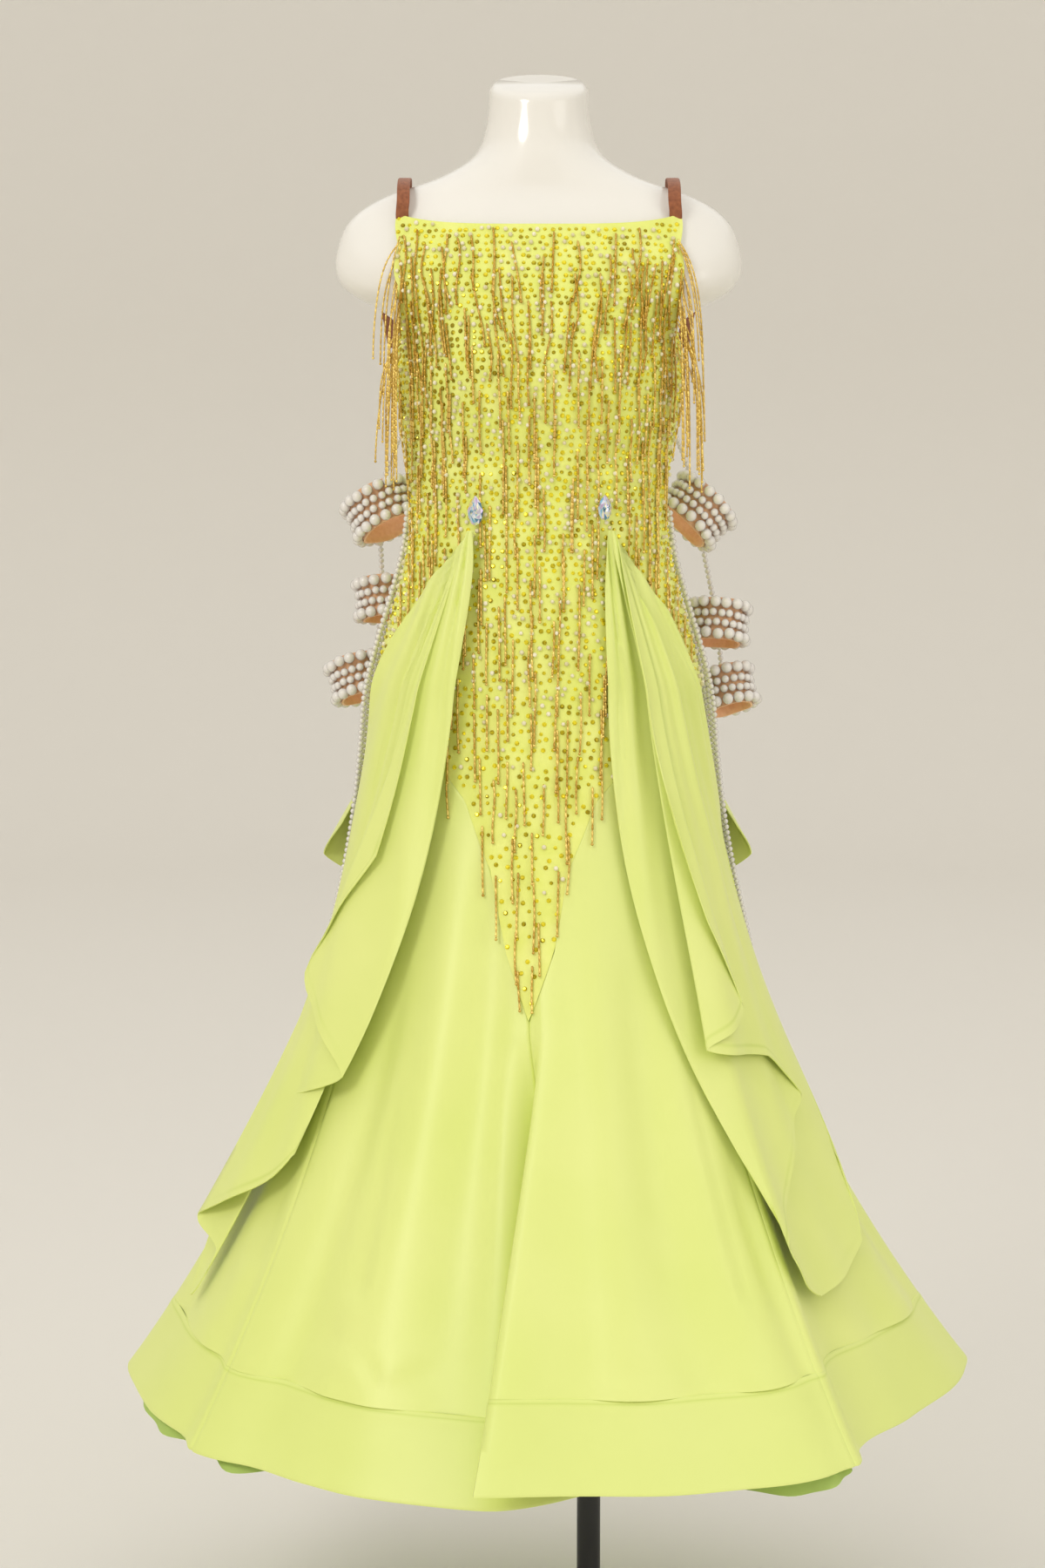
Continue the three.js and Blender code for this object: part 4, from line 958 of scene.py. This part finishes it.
# Short ripples where the cloth meets the stiff band.
RIPPLES = table(
    "azimuth z height wide high slant",
    (-38, 372, -4.5, 4.5, 15, 2.2), (-33, 352, 3.5, 2.2, 9, -1.0), (-29, 350, -4.0, 1.6, 9, -0.8),
    (-26, 352, 3.5, 1.5, 9, 0.8), (-22, 350, -2.5, 2.0, 8, 0.6), (15, 366, -2.5, 2.6, 10, -1.0),
    (21, 358, 2.8, 1.8, 8, 0.6), (26, 356, -3.4, 1.8, 8, 0.8), (31, 360, 2.6, 1.8, 9, -0.5),
    (70, 352, -3.0, 3.0, 10, 1.0), (78, 350, 2.6, 2.2, 9, -0.8), (-68, 350, -3.0, 2.4, 10, -1.0),
    (-84, 356, 3.0, 2.6, 10, 1.0), (112, 352, -3.0, 3.0, 10, 1.0), (135, 350, 3.0, 3.2, 10, -1.0),
    (160, 352, -2.8, 3.0, 9, 1.0), (-115, 352, 3.0, 3.0, 10, 1.0), (-136, 350, -3.0, 3.0, 10, -1.0),
    (-150, 354, 2.6, 2.6, 9, 0.8), (-170, 352, -2.8, 2.6, 9, 1.0),
)


def skirt_relief(azimuth, z):
    """The skirt's ridges, troughs and ripples, held low where a drape lies over them."""
    lift = np.zeros(np.broadcast(azimuth, z).shape)
    for k, crease in enumerate(rows_of(CREASES)):
        share = part_way(z, crease["top"], crease["foot"])
        middle = mix(crease["top_azimuth"], crease["foot_azimuth"], share) + 0.8 * np.sin(share * 7 + k)
        profile = hump(azimuth, middle, CREASE_WIDTH * crease["wide"])
        lift += CREASE_HEIGHT * crease["height"] * profile * np.sin(np.pi * share) ** 0.8
    for ripple in rows_of(RIPPLES):
        down = (z - ripple["z"]) / ripple["high"]
        across = (azimuth - ripple["azimuth"] - ripple["slant"] * down) / ripple["wide"]
        lift += RIPPLE_HEIGHT * ripple["height"] * np.exp(-(down**2) - across**2)
    under_drape = part_way(np.abs(azimuth), 28, 34) * part_way(z, 360, 420)
    return np.minimum(lift, mix(30.0, 2.0, under_drape * (np.abs(azimuth) < 96)))


def columns_between(start, end, spacing):
    """Azimuths spaced evenly along the hem, with closer ones at both seams."""
    fine = np.linspace(start, end, 1200)
    run = run_along(hem_at(HEM, fine))
    near = np.array([0, 2, 4, 6.5])
    inner = np.linspace(10, run[-1] - 10, int(run[-1] / spacing))
    return np.interp(np.concatenate([near, inner, run[-1] - near[::-1]]), run, fine)


def distances(grid, axis):
    """How far each point of a grid is along its own column or row."""
    steps = np.linalg.norm(np.diff(grid, axis=axis), axis=-1)
    pad = [(1, 0), (0, 0)] if axis == 0 else [(0, 0), (1, 0)]
    return np.pad(np.cumsum(steps, axis=axis), pad)


def skirt_grid(azimuths, top, foot, shares, stiffness):
    """Places on a stretch of skirt, the way out from each, and its height out of the cut."""
    azimuth = np.repeat(azimuths[:, None], len(shares), 1)
    z = mix(top[:, None], foot[:, None], shares[None, :])
    base = dress_point(azimuth, z)
    out = outward(azimuth, z)
    across, down = distances(base, 0), distances(base, 1)
    to_seam = np.minimum(across, across[-1:] - across)
    lift = skirt_relief(azimuth, z) * (1 - stiffness)
    lift -= 1.3 * hump(to_seam, 0, 2.5) + 0.5 * hump(down, 0, 1.8)
    return base, out, lift


def add_gore(name, start, end):
    """A gore from the hip seam down to the hem band, and the stiffer band with its stitches."""
    azimuths = columns_between(start, end, 10)
    hem = hem_at(HEM, azimuths)[:, 2]
    band_top = hem + BAND_RISE
    near = np.array([0, 0.003, 0.006, 0.01])
    shares = np.concatenate([near, np.linspace(0.018, 0.985, 66), 1 - near[::-1]])
    base, out, lift = skirt_grid(azimuths, yoke_z(azimuths), band_top - 0.3, shares, 0)
    outer = base + out * lift[..., None]
    inner = base - out * (SKIRT_WALL - np.minimum(0, lift))[..., None]
    add_cloth(f"gore_{name}", (outer, inner), SATIN, f"skirt_{name}")

    rows = np.concatenate(
        [[0, 1.2, 2.4, 3.4, 4.4, 6, 8], np.linspace(12, 68, 12), [72, 73.6, 74.6, BAND_RISE]]
    )
    base, out, lift = skirt_grid(azimuths, band_top - 0.1, hem, rows / BAND_RISE, 0.45)
    lift += 0.5 * hump(rows, 6, 3)[None, :] + 0.9 * (rows / BAND_RISE)[None, :] ** 6
    rolled = part_way(rows, 72.5, BAND_RISE)[None, :] ** 2
    outer = base + out * (lift - rolled)[..., None]
    inner = base - out * (SKIRT_WALL - np.minimum(0, lift) - rolled)[..., None]
    stitch = np.tile(hump(rows, 3.4, 0.9), (len(azimuths), 1))
    add_cloth(f"band_{name}", (outer, inner), BAND, f"hem_band_{name}",
              (stitch, 0 * stitch))


for name, start, end in GORES:
    add_gore(name, start, end)

# ---- Underskirt ----
UNDERSKIRT_HEM = table(
    "azimuth drop",
    (-180, 4), (-150, -6), (-120, 6), (-92, -4), (-72, 16), (-58, -2), (-49, 12), (-38, -12),
    (-10, -24), (18, -6), (34, 16), (44, 10), (60, -8), (95, 2), (130, -6), (180, 4),
)
UNDERSKIRT_TOP = 620
UNDERSKIRT_WALL = 1.2


def add_underskirt(name, start, end):
    """A quarter of the sheer underskirt, inside the skirt, with a rolled hem."""
    azimuths = np.linspace(start, end, int((end - start) * 1.1))
    foot = hem_at(PLAIN_HEM, azimuths)[:, 2] - table_at(UNDERSKIRT_HEM, "azimuth", "drop", azimuths)
    at_pleat = hump(azimuths, 0, 22)
    shares = np.concatenate([np.linspace(0, 0.97, 34), [0.98, 0.986, 0.992, 1]])
    z = mix(UNDERSKIRT_TOP, foot[:, None], shares[None, :])
    inset = mix((6 + 26 * at_pleat)[:, None], (15 + 95 * at_pleat)[:, None], shares[None, :])
    azimuth = np.repeat(azimuths[:, None], len(shares), 1)
    base, out = dress_point(azimuth, z, False), outward(azimuth, z, False)
    ripple = 2.5 * np.sin(azimuth * 0.9) * shares[None, :] ** 4
    rolled = 1.2 * part_way(shares, 0.985, 1)[None, :]
    outer = base - out * (inset + ripple - rolled)[..., None]
    inner = outer - out * (UNDERSKIRT_WALL + 1.2 * rolled)[..., None]
    add_cloth(f"underskirt_{name}_sheer", (outer, inner), SHEER, f"underskirt_{name}")


for name, start, end in (("back_left", -180, -90), ("front_left", -90, 0),
                         ("front_right", 0, 90), ("back_right", 90, 180)):
    add_underskirt(name, start, end)

# ---- Drapes and back ruffles ----
# Each row is a fold line from the gathers through the middle of its run to the hem:
# its azimuths, its middle and end levels, and its distances from the dress.
GATHER_Z = 1148
DRAPE_LEFT = table(
    "top mid mid_z end end_z out_top out_mid out_end",
    (-32, -39.8, 983, -49, 823, 21, 31, 40), (-32, -48.4, 921, -75.1, 696, 19.5, 28, 36),
    (-25, -31.2, 871, -48.5, 606, 17, 23.5, 28), (-32, -57.1, 850, -79.6, 563, 15, 19.5, 23),
    (-25.5, -41.7, 831, -59, 525, 13, 16.5, 19), (-32, -73, 803, -82.7, 440, 11, 14, 38),
    (-26, -58.4, 781, -77.5, 411, 9.4, 11.5, 14), (-32, -67.4, 758, -79.5, 362, 7.8, 9, 10),
    (-34, -79, 830, -88, 505, 8.4, 10.5, 15), (-36, -88, 900, -92, 650, 8.6, 11, 12),
)
DRAPE_RIGHT = table(
    "top mid mid_z end end_z out_top out_mid out_end",
    (33, 33.5, 1009, 39.3, 870, 21, 31, 39), (33, 36.9, 953, 45.2, 760, 20, 30, 39),
    (33.5, 43.4, 905, 55.2, 671, 19, 28.5, 37), (29, 38.4, 884, 37.6, 641, 17, 24, 30),
    (32, 50.1, 869, 62.7, 620, 15.5, 21, 26), (34, 61.2, 858, 72.9, 573, 14.5, 18.5, 23),
    (32.5, 57.8, 838, 67.3, 550, 13.5, 16.5, 20), (31, 49, 810, 56.9, 498, 12.5, 14.5, 21),
    (29.5, 40.3, 785, 45.6, 456, 11.5, 13, 20), (27, 26.7, 778, 56.3, 400, 10, 11, 16),
    (32, 76.9, 778, 73.2, 424, 8, 8.5, 16), (34, 83.8, 812, 79.6, 504, 7.8, 8.5, 15),
    (36, 82, 850, 86, 540, 7.8, 9, 11), (38, 88, 880, 91, 650, 7.8, 9, 12),
)
RUFFLE_Z = 968
RUFFLE = table(
    "top mid mid_z end end_z out_top out_mid out_end",
    (124, 110.7, 905, 97.2, 840, 7, 13, 28), (125, 114.8, 892, 103.6, 805, 12, 30, 48),
    (127, 120, 880, 112.9, 775, 7, 12, 17), (129, 127, 868, 124, 745, 12, 27, 44),
    (132, 134, 860, 131.4, 722, 7, 10, 14), (134, 143.6, 868, 142.2, 730, 12, 24, 38),
    (137, 151.7, 880, 151.9, 765, 7, 9, 11),
)
HEM_WIDTH = 9.0
SOFTNESS = 0.6  # of the spans between fold lines, from straight to round


def fold_grid(rows, gather_z, side, per_fold, steps, gather, pinch):
    """A folded sheet: rounded spans between fold lines, with fine pleats at the gathers."""
    folds = len(rows["top"])
    share = np.concatenate([np.linspace(0, 0.95, steps), np.linspace(0.957, 1, 8)])
    # Each fold line is a parabola through its place at the gathers, its middle and its end.
    first, middle, last = (2 * share - 1) * (share - 1), 4 * share * (1 - share), share * (2 * share - 1)
    top = np.stack([rows["top"], np.full(folds, float(gather_z)), rows["out_top"]], -1)[:, None]
    mid = np.stack([rows["mid"], rows["mid_z"], rows["out_mid"]], -1)[:, None]
    foot = np.stack([rows["end"], rows["end_z"], rows["out_end"]], -1)[:, None]
    lines = first[:, None] * top + middle[:, None] * mid + last[:, None] * foot
    at = np.linspace(0, folds - 1, (folds - 1) * per_fold + 1)
    index = np.minimum(at.astype(int), folds - 2)
    t = (at - index)[:, None, None]
    p = [lines[np.clip(index + k, 0, folds - 1)] for k in (-1, 0, 1, 2)]
    smooth = 0.5 * (2 * p[1] + (p[2] - p[0]) * t + (2 * p[0] - 5 * p[1] + 4 * p[2] - p[3]) * t**2
                    + (3 * p[1] - p[0] - 3 * p[2] + p[3]) * t**3)
    azimuth, z, out = np.moveaxis(mix(mix(p[1], p[2], t), smooth, SOFTNESS), -1, 0)
    near = np.exp(-share / 0.06)[None, :]
    azimuth = mix(azimuth, gather, pinch * near)
    # Soft pleats spread from the gathers; every layer follows the same ones.
    spread = (azimuth - gather) / mix(7, 42, np.minimum(1, share * 1.7))[None, :]
    pleats = np.sin(17 * spread + 1.1 * np.sin(7 * spread + 1) + 1.5 * share[None, :])
    pleats = pleats + 0.6 * np.sin(9 * spread + 4 * share[None, :])
    depth = (1 - np.exp(-share / 0.05)) * (2.4 * np.exp(-share / 0.4) + 0.9)
    # The top layer's edge lies close on the layer under it near the gathers.
    out = out - 2.6 * part_way(at, 1, 0)[:, None] * part_way(share, 0.6, 0.3)[None, :]
    flutter = 0.8 * np.sin(at * 1.9)[:, None] * share[None, :]
    out = out + pleats * depth[None, :] + flutter
    return dress_point(side * azimuth, z, False) + clear_out(side * azimuth) * out[..., None]


def add_folded(name, rows, gather_z, side, per_fold, steps, gather, pinch):
    """A gathered drape or ruffle: a thin wall with a stitched, doubled hem."""
    grid = fold_grid(rows, gather_z, side, per_fold, steps, gather, pinch)
    across, down = distances(grid, 0), distances(grid, 1)
    to_hem = np.minimum(down[:, -1:] - down, np.where(down > 60, across, 1e3))
    normal = unit(np.cross(np.gradient(grid, axis=0), np.gradient(grid, axis=1)))
    doubled = 0.4 + 0.18 / (1 + np.exp((to_hem - HEM_WIDTH) / 0.8))
    outer, inner = grid - normal * doubled[..., None], grid + normal * doubled[..., None]
    points, faces = shell(outer, inner)
    stitch = (hump(to_hem, HEM_WIDTH, 1) * part_way(down, 250, 330)).ravel()
    piece = add_mesh(f"{name}_cloth", points, faces, SATIN, [name],
                     {"stitch": np.concatenate([stitch, stitch])}, sharp=70)
    declare_sheet(grid)


add_folded("drape_left", DRAPE_LEFT, GATHER_Z, 1, 13, 80, -28.5, 0.8)
add_folded("drape_right", DRAPE_RIGHT, GATHER_Z, 1, 10, 80, 30.5, 0.8)
for side, side_name in SIDES:
    add_folded(f"back_ruffle_{side_name}", RUFFLE, RUFFLE_Z, side, 12, 40, 130, 0.3)

# ---- Shoulder straps ----
STRAP_WIDTH = 13
STRAP_THICKNESS = 1.4
STRAP_ROUTE = [
    (138, -40.2, 1459), (138, -43, 1467), (137, -44, 1478), (137, -34, 1493), (137, -8, 1504),
    (137, 22, 1506), (139, 54, 1492),
    (144, 76, 1462), (154, 88, 1425), (160, 86, 1388), (155, 60, 1362), (150, 32, 1338),
]


def add_strap(side, name):
    """A ribbed elastic strap, flat to the shoulder all the way along its route."""
    points, _ = route([(side * x, y, z) for x, y, z in STRAP_ROUTE], 2.0)
    along = np.gradient(points, axis=0)
    away = (points - (0, 20, 1400)) * (0, 1, 1)
    across = unit(np.cross(along, away))
    face = unit(np.cross(across, along))
    face *= np.sign(np.einsum("ij,ij->i", face, away))[:, None]
    edge = np.linspace(-1, 1, 13)[None, :, None]
    rib = 0.12 * np.cos(edge * 16) - 0.5 * np.abs(edge) ** 8
    row = points[:, None] + across[:, None] * edge * STRAP_WIDTH / 2
    points, faces = shell(row + face[:, None] * (STRAP_THICKNESS + rib), row - face[:, None] * rib * 0.5)
    add_mesh(name + "_elastic", points, faces, STRAP, [name], sharp=70)


# ---- Crystals ----
# Name, azimuth, level, width and height.
CRYSTALS = [("crystal_left", -27.5, 1168, 17, 30), ("crystal_right", 28.5, 1171, 15, 26)]
CRYSTAL_DEPTH = 7
CRYSTAL_OUT = 7.5  # from the dress to its back
# From the back: each ring's share of the outline, its depth, and its turn in steps.
CRYSTAL_RINGS = [(0.80, 0.2, 0), (1.0, 2.2, 0), (0.82, 4.2, 0.5), (0.5, 6.0, 0), (0.3, 6.8, 0.5)]


def add_drop_crystal(name, azimuth, z, width, height):
    """A faceted drop: rings of staggered points from a flat back to a small table."""
    count = 12
    rings = []
    for scale, depth, shift in CRYSTAL_RINGS:
        turn = (np.arange(count) + shift) * 2 * math.pi / count
        narrow = np.where(np.sin(turn) > 0, 1 - 0.75 * np.sin(turn) ** 2, 1)
        rings.append(np.stack([np.cos(turn) * scale * narrow * width / 2, np.full(count, -depth),
                               np.sin(turn) * scale * height / 2], -1))
    local = np.concatenate([*rings, [[0, -0.2, 0], [0, -CRYSTAL_DEPTH, 0]]])
    faces = []
    for ring in range(len(rings) - 1):
        for k in range(count):
            a, b = ring * count + k, ring * count + (k + 1) % count
            faces += [(a, b, a + count), (b, b + count, a + count)]
    back, front, last = len(local) - 2, len(local) - 1, (len(rings) - 1) * count
    for k in range(count):
        after = (k + 1) % count
        faces += [(back, after, k), (front, last + k, last + after)]
    out = clear_out(np.array(float(azimuth)))
    turn = math.atan2(out[0], -out[1])
    spin = np.array([[math.cos(turn), -math.sin(turn), 0], [math.sin(turn), math.cos(turn), 0], [0, 0, 1]])
    middle = dress_point(azimuth, z, False) + out * CRYSTAL_OUT
    # Each facet keeps its own corners, so that its tone, partly a painted reflection, is its own.
    faces = np.array(faces)
    points = (local @ spin.T + middle)[faces].reshape(-1, 3)
    tone = np.repeat(rng.random(len(faces)), 3)
    split = np.arange(len(points)).reshape(-1, 3)
    add_mesh(name + "_faceted", points, [split], CRYSTAL, [name], {"tone": tone}, sharp=5)


for side, side_name in SIDES:
    add_strap(side, f"shoulder_strap_{side_name}")
for crystal in CRYSTALS:
    add_drop_crystal(*crystal)

# ---- Armbands ----
ARMBANDS = table(
    "side number x y z radius lean_x lean_y",
    (-1, 1, -164, 66, 1169, 32, -25, 18), (-1, 2, -163, 84, 1075, 25, -4, 12),
    (-1, 3, -190, 84, 991, 26, -15, 16), (1, 1, 167, 66, 1168, 31, 44, 16),
    (1, 2, 191, 78, 1050, 26, 6, 14), (1, 3, 200, 82, 978, 25, -12, 18),
)
CUFF_HALF = 23
CUFF_WALL = 2.5
# Four rows of pearls: level on the cuff, and radius.
PEARL_ROWS = [(-17, 6.0), (-5.6, 4.3), (4.6, 4.3), (16.4, 6.1)]


def add_armband(k, band):
    """A tilted elastic cuff, and the rows of pearls round it."""
    side_name = "left" if band["side"] < 0 else "right"
    name = f"armband_{side_name}_{int(band['number'])}"
    a, b = math.radians(-band["lean_y"]), math.radians(band["lean_x"])
    about_x = np.array([[1, 0, 0], [0, math.cos(a), -math.sin(a)], [0, math.sin(a), math.cos(a)]])
    about_y = np.array([[math.cos(b), 0, math.sin(b)], [0, 1, 0], [-math.sin(b), 0, math.cos(b)]])
    turned = about_x @ about_y
    middle = np.array([band["x"], band["y"], band["z"]])

    def ring_grid(radius):
        turn = np.linspace(0, 2 * math.pi, 72)
        level = np.linspace(-1, 1, 15)
        wave = 0.6 * np.sin(turn * 5 + k)[:, None] * np.abs(level)[None, :] ** 2
        flare = 0.9 * level[None, :] ** 4
        reach = radius + wave + flare - 0.35 * (1 - np.cos(level * 12))[None, :]
        lift = level[None, :] * (CUFF_HALF - 0.8) + 0.7 * np.sin(turn * 3 + k)[:, None]
        ring = np.stack([np.cos(turn)[:, None] * reach, np.sin(turn)[:, None] * reach, lift], -1)
        return ring @ turned.T + middle

    outer = ring_grid(band["radius"] - 0.4)
    inner = ring_grid(band["radius"] - CUFF_WALL)
    # The last column repeats the first one, so it is dropped and the wall closes on itself.
    points = np.concatenate([outer[:-1].reshape(-1, 3), inner[:-1].reshape(-1, 3)])
    count = len(points) // 2
    index = np.arange(count).reshape(len(outer) - 1, -1)
    after = np.roll(index, -1, 0)
    front = np.stack([index[:, :-1], index[:, 1:], after[:, 1:], after[:, :-1]], -1).reshape(-1, 4)
    rims = [np.stack([index[:, 0], after[:, 0], after[:, 0] + count, index[:, 0] + count], -1),
            np.stack([after[:, -1], index[:, -1], index[:, -1] + count, after[:, -1] + count], -1)]
    cuff = add_mesh(name + "_elastic", points, [front, front[:, ::-1] + count, *rims], CUFF,
                    [name], sharp=70)
    declare_sheet(outer)

    places, radii = [], []
    for row, (level, radius) in enumerate(PEARL_ROWS):
        around = 2 * math.pi * (band["radius"] + radius)
        number = int(around / (2 * radius * 1.03))
        turn = (np.arange(number) + 0.5 * (row % 2)) * 2 * math.pi / number
        turn = turn + rng.normal(0, 0.012, number)
        reach = band["radius"] + radius * 0.93 + rng.normal(0, 0.15, number)
        lift = level + rng.normal(0, 0.4, number)
        ring = np.stack([np.cos(turn) * reach, np.sin(turn) * reach, lift], -1)
        places.append(ring @ turned.T + middle)
        radii.append(np.full(number, radius))
    points, faces = pearls_on(np.concatenate(places), np.concatenate(radii), 11, 7)
    add_mesh(name + "_pearl_rows", points, faces, PEARL, [name + "_pearls"])


for k, band in enumerate(rows_of(ARMBANDS)):
    add_armband(k, band)

# ---- Stage ----
# In metres, about the stand.
FLOOR_RADIUS, WALL_RADIUS, WALL_TOP = 7, 9, 7


def add_studio():
    """A pale floor that curves up into a round wall, open above."""
    paper = material("paper", (0.83, 0.805, 0.755), 0.9)
    turn = np.linspace(0, math.pi / 2, 12)
    bend = WALL_RADIUS - FLOOR_RADIUS
    curve = [(FLOOR_RADIUS + bend * math.sin(t), bend - bend * math.cos(t)) for t in turn]
    points, faces = lathe([(0, 0), *curve, (WALL_RADIUS, WALL_TOP), (0, WALL_TOP)], 96)
    data = bpy.data.meshes.new("studio")
    inside = [row for f in faces for row in f.tolist() if min(points[row][:, 2]) < WALL_TOP]
    data.from_pydata(points.tolist(), [], inside)
    data.materials.append(paper)
    data.shade_smooth()
    studio = bpy.data.objects.new("studio", data)
    bpy.context.collection.objects.link(studio)


def add_light(name, location, target, size, energy, color):
    data = bpy.data.lights.new(name, "AREA")
    data.shape = "DISK"
    data.size = size
    data.energy = energy
    data.color = color
    light = bpy.data.objects.new(name, data)
    light.location = location
    light.rotation_euler = (Vector(target) - Vector(location)).to_track_quat("-Z", "Y").to_euler()
    bpy.context.collection.objects.link(light)


add_studio()
add_light("key", (-1.9, -2.9, 2.9), (0, 0, 0.95), 1.2, 37, (1.0, 0.97, 0.93))
add_light("fill", (2.5, -2.2, 1.7), (0, 0, 0.9), 2.2, 14, (1.0, 0.98, 0.95))
world = bpy.data.worlds.new("world")
world.use_nodes = True
world.node_tree.nodes["Background"].inputs["Color"].default_value = (0.86, 0.84, 0.80, 1)
world.node_tree.nodes["Background"].inputs["Strength"].default_value = 1.12
bpy.context.scene.world = world
